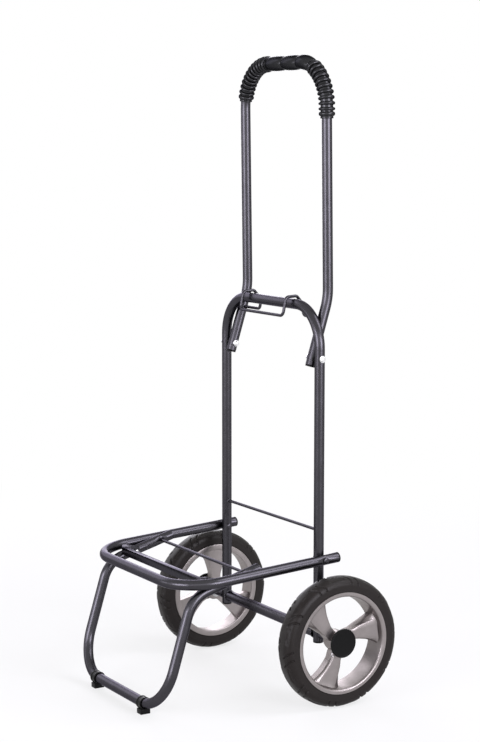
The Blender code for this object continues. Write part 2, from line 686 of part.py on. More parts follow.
def strip(tube):
    """An angle strip between the stand's runs, with a tapered tab along each run, and its rivets."""
    tail, rod, knee, foot = stand_corners()
    line = (knee - rod).normalized()
    front = LEG_Y - STRIP_REACH
    along_run = (front - rod.y) / line.y
    top = rod.z + line.z * along_run + STRIP_RISE
    end_x = STAND_X - TUBE_R - GAP
    low, high = (-end_x, front, top - STRIP_HEIGHT), (end_x, front + STRIP_SHEET, top)
    strip_piece = box("stand_strip", low, high, PAINT)
    ledge = box("ledge", (-end_x, front, top - STRIP_SHEET), (end_x, front + STRIP_DEPTH, top), PAINT)
    rivet_at = rod + line * (along_run - STRIP_TAB_LENGTH + STRIP_TAB_TAIL)
    tabs = [strip_tab(side, end_x, front, top, rivet_at, line) for _, side in SIDES]
    combine(strip_piece, [ledge] + tabs, "UNION")
    inner = end_x - STRIP_SHEET
    play = STRIP_RIVET_R + PIN_PLAY
    holes(strip_piece, play, both_sides(inner - TUBE_WALL, end_x + TUBE_WALL), rivet_at.y, rivet_at.z)
    holes(tube, play, both_sides(inner, STAND_X), rivet_at.y, rivet_at.z)
    head = inner - GAP
    domed_end = flat_headed(head, -STRIP_RIVET_HEAD, STRIP_RIVET_HEAD_R)
    rivet = domed_end[::-1] + [(head, STRIP_RIVET_R), (STAND_X, STRIP_RIVET_R), (STAND_X, 0)]
    middle = Vector((0, rivet_at.y, rivet_at.z))
    rivets = [turned(f"strip_rivet_{word}", mirrored(rivet, side), STEEL, middle, PIN_SIDES)
              for word, side in SIDES]
    return [strip_piece] + rivets


def strip_tab(side, end_x, front, top, rivet_at, line):
    """A flat tab against the tube's inner side: tall at the strip, low round the rivet."""
    up = Vector((0, -line.z, line.y)) * (-1 if line.y < 0 else 1)
    rear = rivet_at - line * STRIP_TAB_TAIL
    outline = [(front, top - STRIP_HEIGHT), (front, top + STRIP_TAB_RISE),
               (front + STRIP_DEPTH, top + STRIP_TAB_RISE)]
    for corner in (rear + up * STRIP_TAB_TAIL, rear - up * STRIP_TAB_TAIL):
        outline.append((corner.y, corner.z))
    shape = bmesh.new()
    inner = end_x - STRIP_SHEET
    face = shape.faces.new([shape.verts.new((side * inner, y, z)) for y, z in outline])
    pushed = bmesh.ops.extrude_face_region(shape, geom=[face])
    moved = [item for item in pushed["geom"] if isinstance(item, bmesh.types.BMVert)]
    bmesh.ops.translate(shape, verts=moved, vec=(side * STRIP_SHEET, 0, 0))
    return from_bmesh("tab", shape, PAINT)


def foot_clip(name, x, y, z):
    """A ring round the stand's bottom bar that comes down to a flat sole on the floor."""
    centre = Vector((x, y, z))
    half = FOOT_LENGTH / 2
    disc = [(-half, 0), (-half, FOOT_R), (half, FOOT_R), (half, 0)]
    ring = turned(name, disc, BLACK, centre, HUB_SIDES)
    sole = box("sole", (x - half, y - FOOT_SOLE_HALF, 0), (x + half, y + FOOT_SOLE_HALF, z), BLACK)
    combine(ring, [sole], "UNION")
    return clear_of_tube(ring, stand_route())


def tyre(name, middle):
    """A solid tyre with rounded shoulders and a tongue in the rim's groove."""
    half = TYRE_WIDTH / 2
    seat, tongue = TYRE_SEAT_R + GAP, TYRE_TONGUE_R + GAP
    inner = [(TYRE_TONGUE_HALF - GAP, tongue), (TYRE_TONGUE_HALF - GAP, seat), (half, seat)]
    shoulder = [(half - inward, WHEEL_R - fall) for inward, fall in TYRE_SHOULDER]
    right = inner + shoulder + [(TYRE_CROWN_HALF, WHEEL_R)]
    return turned(name, right + mirrored(reversed(right), -1), RUBBER, middle, WHEEL_SIDES, closed=True)


def spoke(middle, angle):
    """One broad spoke: a flat panel in front, a shoulder that slopes back on each side, and the walls."""
    shape = bmesh.new()
    sides = SPOKE_STRAIGHT_EDGE + SPOKE_HOLLOW_EDGE[::-1]
    panel = SPOKE_PANEL_LINE + SPOKE_RIDGE[::-1]
    outlines = []
    for x, outline in ((SPOKE_FRONT, panel), (SPOKE_FRONT - SPOKE_SHOULDER, sides), (SPOKE_BACK, sides)):
        marks = [(r, math.radians(degrees)) for r, degrees in outline]
        verts = [shape.verts.new((x, r * math.cos(turn), r * math.sin(turn))) for r, turn in marks]
        outlines.append([shape.edges.new(pair) for pair in zip(verts, verts[1:] + verts[:1])])
    for front, back in zip(outlines, outlines[1:]):
        bmesh.ops.bridge_loops(shape, edges=front + back)
    for outline in (outlines[0], outlines[-1]):
        bmesh.ops.edgeloop_fill(shape, edges=outline)
    blade = from_bmesh("spoke", shape, SILVER)
    blade.data.transform(Matrix.Translation(middle) @ Matrix.Rotation(angle, 4, "X"))
    return blade


def rim(name, middle):
    """The wheel's moulding: grooved barrel, three spokes and the hub, in one piece."""
    half = TYRE_WIDTH / 2
    barrel = [(half - RIM_LIP_ROUND, TYRE_SEAT_R), (half, TYRE_SEAT_R - RIM_LIP_FALL),
              (half, RIM_FRONT_R + RIM_LIP_ROUND), (half - RIM_LIP_ROUND, RIM_FRONT_R),
              (-half, RIM_BACK_R), (-half, TYRE_SEAT_R),
              (-TYRE_TONGUE_HALF, TYRE_SEAT_R), (-TYRE_TONGUE_HALF, TYRE_TONGUE_R),
              (TYRE_TONGUE_HALF, TYRE_TONGUE_R), (TYRE_TONGUE_HALF, TYRE_SEAT_R)]
    wheel = turned(name, barrel, SILVER, middle, WHEEL_SIDES, closed=True)
    hub = [(HUB_BACK, 0), (HUB_BACK, HUB_R - HUB_TAPER), (HUB_BACK + HUB_TAPER_LENGTH, HUB_R),
           (HUB_FACE, HUB_R), (HUB_FACE, 0)]
    parts = [turned("hub", hub, SILVER, middle, HUB_SIDES)]
    parts += [spoke(middle, 2 * math.pi * k / SPOKE_COUNT) for k in range(SPOKE_COUNT)]
    combine(wheel, parts, "UNION")
    bore = AXLE_R + PIN_PLAY + BUSH_WALL + GAP
    return holes(wheel, bore, [(middle.x - TYRE_WIDTH, middle.x + TYRE_WIDTH)], middle.y, middle.z)


def bush(name, middle):
    """The bearing sleeve in the hub that turns on the axle rod."""
    inner = AXLE_R + PIN_PLAY
    outer = (inner + BUSH_WALL) * math.cos(math.pi / PIN_SIDES)
    return turned(name, spacer_ring(HUB_BACK, HUB_FACE, inner, outer), NYLON, middle, closed=True)


def hub_cap(name, middle):
    """The round cap on the hub, on a narrower boss that leaves a slot for the wheel clip."""
    seat = HUB_FACE + GAP
    back = HUB_FACE + CLIP_SLOT
    face = back + CAP_THICK
    boss = [(seat, 0), (seat, CAP_BOSS_R), (back, CAP_BOSS_R)]
    back_edge = [(back, CAP_R - CAP_BACK_EDGE), (back + CAP_BACK_EDGE, CAP_R)]
    front_edge = [(face - CAP_FRONT_EDGE, CAP_R), (face, CAP_R - CAP_FRONT_EDGE)]
    disc = boss + back_edge + front_edge + [(face, 0)]
    return turned(name, disc, BLACK, middle, HUB_SIDES)


def wheel_clip(name, middle):
    """A hairpin of thin wire that straddles the cap's boss and shows its bend below the cap."""
    x = HUB_FACE + CLIP_SLOT / 2
    leg = CAP_BOSS_R + WIRE_R + GAP
    near_tip = Vector((x, WIRE_TIP_R - 2 * WIRE_R, 2 * WIRE_R))
    half = [Vector((x, -leg, leg)), Vector((x, leg / 2, leg)), near_tip]
    points = half + [Vector((x, WIRE_TIP_R, 0))] + [Vector((p.x, p.y, -p.z)) for p in reversed(half)]
    wire = swept(name, points, WIRE_R, STEEL, sides=WIRE_SIDES)
    wire.data.transform(Matrix.Translation(middle) @ Matrix.Rotation(WIRE_TURN, 4, "X"))
    return wire


def wheel(word, side, turn):
    """One wheel, made with its outer side to +X and turned round for the other side."""
    middle = Vector((0, 0, 0))
    pieces = [tyre(f"tyre_{word}", middle), rim(f"wheel_rim_{word}", middle),
              bush(f"wheel_bush_{word}", middle), hub_cap(f"hub_cap_{word}", middle),
              wheel_clip(f"wheel_clip_{word}", middle)]
    place_at = Matrix.Translation((side * WHEEL_X, LEG_Y, AXLE_Z))
    facing = Matrix.Rotation(0 if side > 0 else math.pi, 4, "Z")
    for piece in pieces:
        own_turn = turn if piece.name == f"wheel_rim_{word}" else 0
        piece.data.transform(place_at @ facing @ Matrix.Rotation(own_turn, 4, "X"))
    return pieces


def main():
    clear_scene()
    rear_frame()
    axle()
    bolts()
    handle_pieces = handle() + grip()
    axis_empty("handle_fold_axis", (0, LEG_Y, HANDLE_PIVOT_Z), handle_pieces)
    pin = clip_pin()
    axis_empty("clip_swing_axis", (0, pin.y, pin.z), [lock_clip()])
    axis_empty("platform_fold_axis", (0, LEG_Y, PLATFORM_PIVOT_Z), platform())
    rod_y, rod_z = LEG_Y - STAND_ROD_REACH, arm_height(STAND_ROD_REACH)
    axis_empty("stand_fold_axis", (0, rod_y, rod_z), stand())
    for (word, side), turn in zip(SIDES, (LEFT_WHEEL_TURN, RIGHT_WHEEL_TURN)):
        axis_empty(f"wheel_spin_{word}", (side * WHEEL_X, LEG_Y, AXLE_Z), wheel(word, side, turn))


main()
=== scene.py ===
"""Looks of a folding transport trolley: bent tubes in anthracite enamel, a ribbed vinyl grip on the handle,
silver spoked wheels with moulded tyres, and the small fittings between them, on a white studio floor.

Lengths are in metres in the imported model's frame: X runs across, -Y is the front and +Z is up.
"""

import json
import math

import bmesh
import bpy
from mathutils import Matrix, Vector


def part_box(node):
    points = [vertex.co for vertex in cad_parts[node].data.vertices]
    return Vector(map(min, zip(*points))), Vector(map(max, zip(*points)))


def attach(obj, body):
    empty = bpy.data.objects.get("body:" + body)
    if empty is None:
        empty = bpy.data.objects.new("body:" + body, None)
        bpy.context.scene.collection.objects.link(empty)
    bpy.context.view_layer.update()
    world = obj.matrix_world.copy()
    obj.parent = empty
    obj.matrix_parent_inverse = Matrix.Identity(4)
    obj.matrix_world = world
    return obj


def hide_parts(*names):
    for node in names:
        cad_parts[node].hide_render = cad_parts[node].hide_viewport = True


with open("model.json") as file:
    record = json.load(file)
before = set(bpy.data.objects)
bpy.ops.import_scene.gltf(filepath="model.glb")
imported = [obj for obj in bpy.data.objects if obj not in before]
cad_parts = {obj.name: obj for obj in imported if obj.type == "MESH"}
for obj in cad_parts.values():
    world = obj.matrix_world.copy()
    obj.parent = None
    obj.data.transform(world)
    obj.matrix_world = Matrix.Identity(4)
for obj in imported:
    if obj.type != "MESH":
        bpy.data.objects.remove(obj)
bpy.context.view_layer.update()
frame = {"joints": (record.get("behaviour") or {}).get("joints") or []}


def joint_at(name):
    return Vector(next(joint["pos_m"] for joint in frame["joints"] if joint["name"] == name))


def low(node):
    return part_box(node)[0]


def high(node):
    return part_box(node)[1]


# Fineness
TUBE_SIDES = 40
ROUND_SIDES = 48
WIRE_SIDES = 16
BEND_STEP = math.radians(4)
SHARP_ANGLE = math.radians(38)
MERGE = 1e-6
CRIMP_STATIONS = 9           # on each side of a crimp's middle
EASE_SHARE = 0.45            # share of an edge that the rounding of its corner may take

# Tube
TUBE_R = 0.0082
TUBE_WALL = 0.0012
BORE_R = TUBE_R - TUBE_WALL
CUT_EDGE = 0.0003            # rounding of a cut tube end
GAP = 0.0003

# Rear frame
HANDLE_PIVOT = joint_at("handle_fold")
PLATFORM_PIVOT = joint_at("platform_fold")
STAND_PIVOT = joint_at("stand_fold")
CLIP_PIVOT = joint_at("clip_swing")
AXLE = joint_at("wheel_right_spin")
LEG_Y = HANDLE_PIVOT.y
LEG_X = high("rear_frame_tube").x - TUBE_R
ARCH_Z = high("rear_frame_tube").z - TUBE_R
TOE_Z = low("rear_frame_tube").z
ARCH_BEND_R = 0.066
BACK_ROD_R = 0.0025
BACK_ROD_Z = (low("back_cross_rod").z + high("back_cross_rod").z) / 2
WELD_R = 0.0013
WELD_RIPPLE = 0.00025
WELD_STEP = 30               # degrees round the bead's section

# Handle
HANDLE_X = high("handle_tube").x - TUBE_R
HANDLE_TAIL = 0.0125
HANDLE_KNEE_BACK = 0.0289
HANDLE_KNEE_UP = 0.0934
HANDLE_KNEE_R = 0.100
HANDLE_BEND_R = 0.071
HANDLE_TOP_Z = high("handle_tube").z - TUBE_R
HANDLE_TOP_BACK = 0.0235
HANDLE_TOP_Y = LEG_Y + HANDLE_TOP_BACK
BOLT_R = 0.0030
BOLT_HEAD_R = 0.0055
BOLT_HEAD = 0.0034
BOLT_FLANGE = 0.0010
BOLT_STEP_R = BOLT_HEAD_R * 0.82
BOLT_DOME_R = BOLT_HEAD_R * 0.80
NUT_R = 0.0058
NUT_LENGTH = 0.0068
NUT_HEX = 0.0034
NUT_DOME_R = NUT_R * 0.80
NUT_DOME_FLAT = 0.2
NUT_EDGE = 0.0004
SPACER_R = 0.0065
SPACER_EDGE = 0.0006

# Grip
GRIP_JOINTS = (-0.0440, 0.0034, 0.0465, 0.0840)
BULGE_R = 0.0122
BULGE_WAIST_R = 0.0101
BULGE_SEAM = 0.0004
SLEEVES = {"left": (0.1075, 11), "right": (0.0980, 10)}      # length, and its ribs
RIB_R = 0.0133
RIB_ROOT_R = 0.0101
RIB_SHARE = 0.64             # share of the pitch that a rib takes
FIRST_RING = 0.0018
FIRST_RING_R = 0.0108
COLLAR = 0.0074
COLLAR_R = 0.0131
END_RING = 0.0034
END_RING_R = 0.0104
GRIP_JOINT = 0.0009
GRIP_SIDES = 48
GRIP_BEND_STEP = math.radians(1)
BULGE_STEPS = 24

# Lock clip
CLIP_R = 0.0025
CLIP_X = 0.0660
CLIP_RISE = 0.0010           # front bar above the pins
CLIP_PLAY = 0.0006
CLIP_CORNER_R = 0.0075
CLIP_TOP_R = 0.0060
CLIP_REAR_TOP = (0.0065, 0.0124)      # hook's bends, (back, up) from the arch's centre line
CLIP_FRONT_TOP = (-0.0134, 0.0112)
CLIP_REAR_DOWN = 0.0020

# Platform
ARM_X = high("platform_tube").x - TUBE_R
NOSE_Y = low("platform_tube").y + TUBE_R
NOSE_Z = low("platform_tube").z + TUBE_R
PLATFORM_TAIL = 0.0245
PLATFORM_BEND_R = 0.068
ARM_CRIMP_HALF = 0.0070
ARM_CRIMP_SPAN = 0.0150
ARM_DIMPLE = 0.0012          # deeper still on the arm's outer side, round the rivet
ARM_DIMPLE_REACH = 0.0090
ARM_RELIEF = 0.0014          # the arm's inner side draws in round the rivet, clear of the leg when folded
ARM_RELIEF_REACH = 0.0340
ARM_RELIEF_MARKS = (0.55, 0.7, 0.85, 1.0)
RIVET_R = 0.0028
RIVET_HEAD_R = 0.0050
RIVET_HEAD = 0.0016

# Stand
STAND_X = high("stand_tube").x - TUBE_R
STAND_ROD_R = 0.0025
STAND_TAIL = 0.0225
STAND_KNEE = Vector((STAND_X, LEG_Y - 0.2293, 0.1908))
STAND_KNEE_R = 0.050
STAND_BEND_R = 0.066
STAND_CRIMP_HALF = 0.0058
STAND_CRIMP_SPAN = 0.0110
STAND_DIMPLE = 0.0014
STAND_DIMPLE_REACH = 0.0077
FOOT_WALL = 0.0018
FOOT_R = TUBE_R + GAP + FOOT_WALL
FOOT_RECESS = 0.0007
FOOT_RIM = 0.0030
FOOT_EDGE = 0.0005
FOOT_SOLE_HALF = 0.0084
FOOT_SOLE_EDGE = 0.0007
FOOT_Y = (low("foot_clip_right").y + high("foot_clip_right").y) / 2
FOOT_Z = high("foot_clip_right").z - FOOT_R

# Strip across the stand
STRIP_HEIGHT = 0.0125
STRIP_DEPTH = 0.0085
STRIP_SHEET = 0.0015
STRIP_TAB_RISE = 0.0040
STRIP_TAB_LENGTH = 0.0350
STRIP_TAB_TAIL = 0.0065
STRIP_RIVET_HEAD_R = 0.0036
STRIP_RIVET_HEAD = 0.0016
STRIP_RIVET_R = 0.0020

# Plugs
PLUG_FLANGE = 0.0020
PLUG_ROUND = 0.0012
PLUG_TAPER = 0.8             # the stem's last fifth tapers to this share of its radius
PLUG_DISH_R = 0.6            # share of the flange's radius where its hollow starts
PLUG_DISH_FLOOR_R = 0.5
PLUG_DISH = 0.0006

# Wheels
WHEEL_R = high("tyre_right").z - AXLE.z
TYRE_HALF = (high("tyre_right").x - low("tyre_right").x) / 2
AXLE_R = 0.0050
AXLE_NOSE = 0.0008
AXLE_TUBE_R = 0.0090
PIN_PLAY = 0.0005
SLEEVE_R = 0.0072
WASHER_R = 0.0110
TYRE_SEAT_R = 0.0816
TYRE_TONGUE_R = 0.0768
TYRE_TONGUE_HALF = 0.0120
TREAD_STEPS = 720
RIM_SIDES = 144
HUB_SIDES = 72
CAP_SIDES = 96
RIM_FRONT_R = 0.0738
RIM_BACK_R = 0.0717
RIM_LIP_X = TYRE_HALF - 0.0100        # where the rounded lip runs into the barrel
RIM_LIP_ROUND = 0.0040
RIM_LIP_SLOPE = 0.0004
RIM_LIP_SEAT = 0.0010        # how far the lip's edge stands out from the tyre's seat
RIM_LIP_TOP = TYRE_SEAT_R - 0.0002    # radius of the lip's edge, just below the seat
RIM_EDGE_ROUND = 0.0012
HUB_R = 0.0170
HUB_FACE = 0.0135
HUB_TAPER = 0.0060
HUB_BACK_R = 0.0150
HUB_EDGE = 0.0008
BUSH_WALL = 0.0022
BUSH_EDGE = 0.0004
CAP_R = 0.0232
CAP_THICK = 0.0030
CAP_RIM = 0.0022             # width of the raised rim round the cap's face
CAP_RIM_RISE = 0.0004
CAP_EDGE = 0.0009
CLIP_SLOT = 0.0016
CAP_BOSS_R = 0.0125
SPOKE_COUNT = 3
SPOKE_FRONT = 0.0068
SPOKE_BACK = -0.0105
SPOKE_SHOULDER = 0.0050      # how far back the panel's two shoulders reach
WIRE_R = 0.0006
WIRE_TIP_R = 0.0290
WIRE_BENDS = (0.0040, 0.0012, 0.0040)
WIRE_TURN = math.radians(222)
WHEEL_TURNS = {"left": math.radians(-29), "right": math.radians(10.5)}

SIDES = (("left", -1), ("right", 1))
GRAIN_HEIGHT = 0.0001


# Nodes
def add(tree, kind, inputs=(), **settings):
    """A node whose inputs, by label or place, take a value or another node's output."""
    made = tree.nodes.new(kind)
    for key, value in settings.items():
        setattr(made, key, value)
    for label, value in dict(inputs).items():
        if isinstance(value, bpy.types.NodeSocket):
            tree.links.new(value, made.inputs[label])
        else:
            made.inputs[label].default_value = value
    return made


class Recipe:
    """A new material and its Principled shader, with the constants of its finish."""

    def __init__(self, name, **values):
        self.material = bpy.data.materials.new(name)
        self.material.use_nodes = True
        self.tree = self.material.node_tree
        self.shader = self.tree.nodes["Principled BSDF"]
        for key, value in values.items():
            label = key.replace("_", " ").title().replace("Ior", "IOR")
            self.shader.inputs[label].default_value = value

    def feed(self, label, output):
        self.tree.links.new(output, self.shader.inputs[label])


def group_tree(name, inputs, outputs):
    """An empty shader node group with float inputs, given with their defaults, and outputs by type."""
    tree = bpy.data.node_groups.new(name, "ShaderNodeTree")
    for label, value in inputs.items():
        socket = tree.interface.new_socket(label, in_out="INPUT", socket_type="NodeSocketFloat")
        socket.default_value = value
    for label, kind in outputs.items():
        tree.interface.new_socket(label, in_out="OUTPUT", socket_type=kind)
    return tree, tree.nodes.new("NodeGroupInput").outputs


def grain_group():
    """Noise on Object coordinates, spread between Low and High, and its relief as a normal."""
    tree, given = group_tree(
        "surface_grain",
        {"Scale": 100.0, "Detail": 3.0, "Low": 0.0, "High": 1.0, "Relief": 0.1},
        {"Value": "NodeSocketFloat", "Normal": "NodeSocketVector"},
    )
    place = add(tree, "ShaderNodeTexCoord")
    speckle = add(tree, "ShaderNodeTexNoise", {
        "Vector": place.outputs["Object"], "Scale": given["Scale"], "Detail": given["Detail"]})
    spread = add(tree, "ShaderNodeMapRange", {
        "Value": speckle.outputs["Fac"], "From Min": 0.3, "From Max": 0.7, "To Min": given["Low"],
        "To Max": given["High"]})
    relief = add(tree, "ShaderNodeBump", {
        "Height": speckle.outputs["Fac"], "Strength": given["Relief"], "Distance": GRAIN_HEIGHT})
    add(tree, "NodeGroupOutput", {"Value": spread.outputs["Result"], "Normal": relief.outputs["Normal"]})
    return tree


def dust_group():
    """A mask of light dust: more on faces that look up, in soft patches."""
    tree, given = group_tree("settled_dust", {"Scale": 40.0, "Amount": 0.3}, {"Mask": "NodeSocketFloat"})
    place = add(tree, "ShaderNodeTexCoord")
    patches = add(tree, "ShaderNodeTexNoise", {
        "Vector": place.outputs["Object"], "Scale": given["Scale"], "Detail": 5.0})
    facing = add(tree, "ShaderNodeNewGeometry")
    split = add(tree, "ShaderNodeSeparateXYZ", {"Vector": facing.outputs["Normal"]})
    upward = add(tree, "ShaderNodeMapRange", {
        "Value": split.outputs["Z"], "From Min": 0.05, "From Max": 1.0})
    patchy = add(tree, "ShaderNodeMapRange", {
        "Value": patches.outputs["Fac"], "From Min": 0.42, "From Max": 0.72})
    both = add(tree, "ShaderNodeMath", {0: patchy.outputs["Result"], 1: upward.outputs["Result"]},
               operation="MULTIPLY")
    amount = add(tree, "ShaderNodeMath", {0: both.outputs["Value"], 1: given["Amount"]},
                 operation="MULTIPLY")
    add(tree, "NodeGroupOutput", {"Mask": amount.outputs["Value"]})
    return tree


GRAIN = grain_group()
DUST = dust_group()


# Finishes
def tint(recipe, mask, base, top):
    """Base Color between two colours by a mask."""
    blend = add(recipe.tree, "ShaderNodeMix", {"Factor": mask, "A": (*base, 1), "B": (*top, 1)},
                data_type="RGBA")
    recipe.feed("Base Color", blend.outputs["Result"])


def cloud(recipe, scale, base, top, detail=3.0):
    """Soft clouds of two colours."""
    grain = add(recipe.tree, "ShaderNodeGroup", {"Scale": scale, "Detail": detail}, node_tree=GRAIN)
    tint(recipe, grain.outputs["Value"], base, top)


def dusting(recipe, scale, amount, base, dust):
    """A colour with light dust on what faces up."""
    settled = add(recipe.tree, "ShaderNodeGroup", {"Scale": scale, "Amount": amount}, node_tree=DUST)
    tint(recipe, settled.outputs["Mask"], base, dust)


def skin(recipe, scale, rough, relief, detail=3.0):
    """Roughness that wanders between two values, with a slight relief."""
    values = {"Scale": scale, "Detail": detail, "Low": rough[0], "High": rough[1], "Relief": relief}
    grain = add(recipe.tree, "ShaderNodeGroup", values, node_tree=GRAIN)
    recipe.feed("Roughness", grain.outputs["Value"])
    recipe.feed("Normal", grain.outputs["Normal"])
    return recipe.material


def anthracite_enamel():
    """Dark metallic enamel, slightly clouded."""
    # The dark specular tint is painted shade: it dims the enamel's reflection at its edges.
    recipe = Recipe("anthracite_enamel", metallic=1.0, specular_tint=(0.50, 0.49, 0.52, 1))
    cloud(recipe, 90.0, (0.052, 0.050, 0.0565), (0.058, 0.056, 0.063))
    return skin(recipe, 70.0, (0.25, 0.29), 0.01, detail=1.0)


def dark_vinyl():
    """Glossy black vinyl of the grip, with painted shade on its edges from a dark specular tint that dims
    its reflection there, and a trace of dust.
    """
    recipe = Recipe("dark_vinyl", metallic=0.9, specular_ior_level=0.1, specular_tint=(0.30, 0.30, 0.31, 1))
    dusting(recipe, 260.0, 0.08, (0.034, 0.034, 0.036), (0.050, 0.050, 0.053))
    return skin(recipe, 300.0, (0.18, 0.24), 0.02, detail=4.0)


def tyre_rubber():
    """Matt moulded rubber with a trace of grey dust on what faces up."""
    recipe = Recipe("tyre_rubber", specular_ior_level=0.16)
    dusting(recipe, 55.0, 0.25, (0.0110, 0.0088, 0.0080), (0.034, 0.030, 0.029))
    return skin(recipe, 700.0, (0.36, 0.48), 0.08, detail=4.0)


def silver_lacquer():
    """Silver lacquer on moulded plastic, warm grey."""
    # The specular tint is painted shade: it dims the lacquer's reflection at its edges.
    recipe = Recipe("silver_lacquer", metallic=0.9, specular_tint=(0.70, 0.68, 0.67, 1))
    cloud(recipe, 60.0, (0.238, 0.216, 0.212), (0.266, 0.242, 0.237))
    return skin(recipe, 160.0, (0.28, 0.36), 0.06)


def moulded_black():
    """Satin black plastic of plugs, caps and feet."""
    recipe = Recipe("moulded_black", specular_ior_level=0.10)
    dusting(recipe, 180.0, 0.35, (0.003, 0.003, 0.003), (0.050, 0.046, 0.047))
    return skin(recipe, 1500.0, (0.34, 0.46), 0.04)


def plated(name, base, top, rough, scale):
    """Plated steel, with a colour and a roughness that wander between two values."""
    recipe = Recipe(name, metallic=1.0)
    cloud(recipe, scale, base, top, detail=4.0)
    return skin(recipe, scale * 3, rough, 0.08)


def natural_nylon():
    """Off-white nylon of the bushes."""
    recipe = Recipe("natural_nylon")
    cloud(recipe, 240.0, (0.50, 0.49, 0.45), (0.62, 0.61, 0.57))
    return skin(recipe, 900.0, (0.40, 0.55), 0.15, detail=2.0)


# Finishes by the record's slot names
FINISHES = {
    "frame_paint": anthracite_enamel(),
    "grip_vinyl": dark_vinyl(),
    "tyre_rubber": tyre_rubber(),
    "rim_silver": silver_lacquer(),
    "black_plastic": moulded_black(),
    "chrome": plated("bright_chrome", (0.74, 0.74, 0.75), (0.86, 0.86, 0.87), (0.06, 0.14), 90.0),
    "zinc_steel": plated("dull_zinc", (0.36, 0.36, 0.37), (0.52, 0.52, 0.53), (0.28, 0.42), 260.0),
    "nylon": natural_nylon(),
}


# Shape helpers
def publish(node, body, slot, shape):
    """Makes a mesh the piece that stands for a CAD node and rides on its body."""
    bmesh.ops.remove_doubles(shape, verts=shape.verts, dist=MERGE)
    bmesh.ops.recalc_face_normals(shape, faces=shape.faces)
    mesh = bpy.data.meshes.new(f"{node}_fine")
    shape.to_mesh(mesh)
    shape.free()
    mesh.materials.append(FINISHES[slot])
    mesh.shade_smooth()
    mesh.set_sharp_from_angle(angle=SHARP_ANGLE)
    piece = bpy.data.objects.new(f"{node}_fine", mesh)
    bpy.context.scene.collection.objects.link(piece)
    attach(piece, body)
    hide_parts(node)


def publish_pair(part, body, slot, maker, *values):
    """Makes the right piece, and its mirror image for the left."""
    for word, side in SIDES:
        shape = maker(*values)
        if side < 0:
            bmesh.ops.scale(shape, vec=(-1, 1, 1), verts=shape.verts)
            bmesh.ops.reverse_faces(shape, faces=shape.faces)
        publish(f"{part}_{word}", body, slot, shape)


def moved(shape, matrix):
    bmesh.ops.transform(shape, matrix=matrix, verts=shape.verts)
    return shape


def bent_route(corners, radii, step=BEND_STEP):
    """Stations (point, heading) along straight runs with an arc at each inner corner.

    A radius of 0 keeps the corner as a station on a straight run.
    """
    stations = [(corners[0].copy(), (corners[1] - corners[0]).normalized())]
    for before, corner, after, radius in zip(corners, corners[1:], corners[2:], radii):
        coming, going = (corner - before).normalized(), (after - corner).normalized()
        if radius == 0:
            stations.append((corner.copy(), coming))
            continue
        sweep = coming.angle(going)
        axis = coming.cross(going).normalized()
        start = corner - coming * radius * math.tan(sweep / 2)
        centre = start + axis.cross(coming) * radius
        steps = max(2, math.ceil(sweep / step))
        for index in range(steps + 1):
            turn = Matrix.Rotation(sweep * index / steps, 3, axis)
            stations.append((centre + turn @ (start - centre), turn @ coming))
    stations.append((corners[-1].copy(), (corners[-1] - corners[-2]).normalized()))
    return stations


def mirror_corners(corners):
    return corners + [Vector((-p.x, p.y, p.z)) for p in reversed(corners)]


def walk_ring(stations, radii, sides):
    """A circle carried along the stations and extruded at each, open at both ends.

    Gives the mesh and the edges of its first and last rings.
    """
    shape = bmesh.new()
    point, heading = stations[0]
    facing = Vector((0, 0, 1)).rotation_difference(heading).to_matrix()
    pose = Matrix.Translation(point) @ facing.to_4x4() @ Matrix.Scale(radii[0], 4)
    bmesh.ops.create_circle(shape, segments=sides, radius=1, matrix=pose)
    first = ring = shape.edges[:]
    for (point, onward), radius in zip(stations[1:], radii[1:]):
        facing = heading.rotation_difference(onward).to_matrix() @ facing
        heading = onward
        after = Matrix.Translation(point) @ facing.to_4x4() @ Matrix.Scale(radius, 4)
        made = bmesh.ops.extrude_edge_only(shape, edges=ring)["geom"]
        verts = {item for item in made if isinstance(item, bmesh.types.BMVert)}
        ring = [item for item in made
                if isinstance(item, bmesh.types.BMEdge) and verts.issuperset(item.verts)]
        bmesh.ops.transform(shape, matrix=after @ pose.inverted(), verts=list(verts))
        pose = after
    return shape, first, ring


def solid_rod(stations, radii, sides=WIRE_SIDES):
    """A round bar along the stations, with flat ends."""
    shape, first, last = walk_ring(stations, radii, sides)
    bmesh.ops.edgeloop_fill(shape, edges=first)
    bmesh.ops.edgeloop_fill(shape, edges=last)
    return shape


def skin_and_bore(stations, radii, bore, sides=TUBE_SIDES):
    """A pipe with its wall: out along the skin and back along the bore, joined at both ends."""
    there_and_back = stations + stations[::-1]
    shape, first, last = walk_ring(there_and_back, list(radii) + [bore] * len(stations), sides)
    bmesh.ops.bridge_loops(shape, edges=first + last)
    return shape


def tube(stations):
    """A length of the frame's tube with softly rounded cut ends."""
    (start, out_heading), (end, in_heading) = stations[0], stations[-1]
    inner = [(start + out_heading * CUT_EDGE, out_heading)] + stations[1:-1]
    inner.append((end - in_heading * CUT_EDGE, in_heading))
    full = [stations[0]] + inner + [stations[-1]]
    radii = [TUBE_R - CUT_EDGE] + [TUBE_R] * len(inner) + [TUBE_R - CUT_EDGE]
    return skin_and_bore(full, radii, BORE_R)


def eased(profile, radius, steps=4):
    """The (x, r) points of a profile with its inner corners rounded, as far as its edges allow."""
    points = [Vector((x, 0, r)) for x, r in profile]
    rounded = [points[0]]
    for before, corner, after in zip(points, points[1:], points[2:]):
        coming, going = corner - before, after - corner
        sweep = coming.angle(going)
        if sweep < SHARP_ANGLE / 2:
            rounded.append(corner)
            continue
        shorter = min(coming.length, going.length)
        reach = min(radius * math.tan(sweep / 2), shorter * EASE_SHARE)
        arc = bent_route([before, corner, after], [reach / math.tan(sweep / 2)], sweep / steps)
        rounded += [point for point, _ in arc[1:-1]]
    rounded.append(points[-1])
    return [(point.x, point.z) for point in rounded]


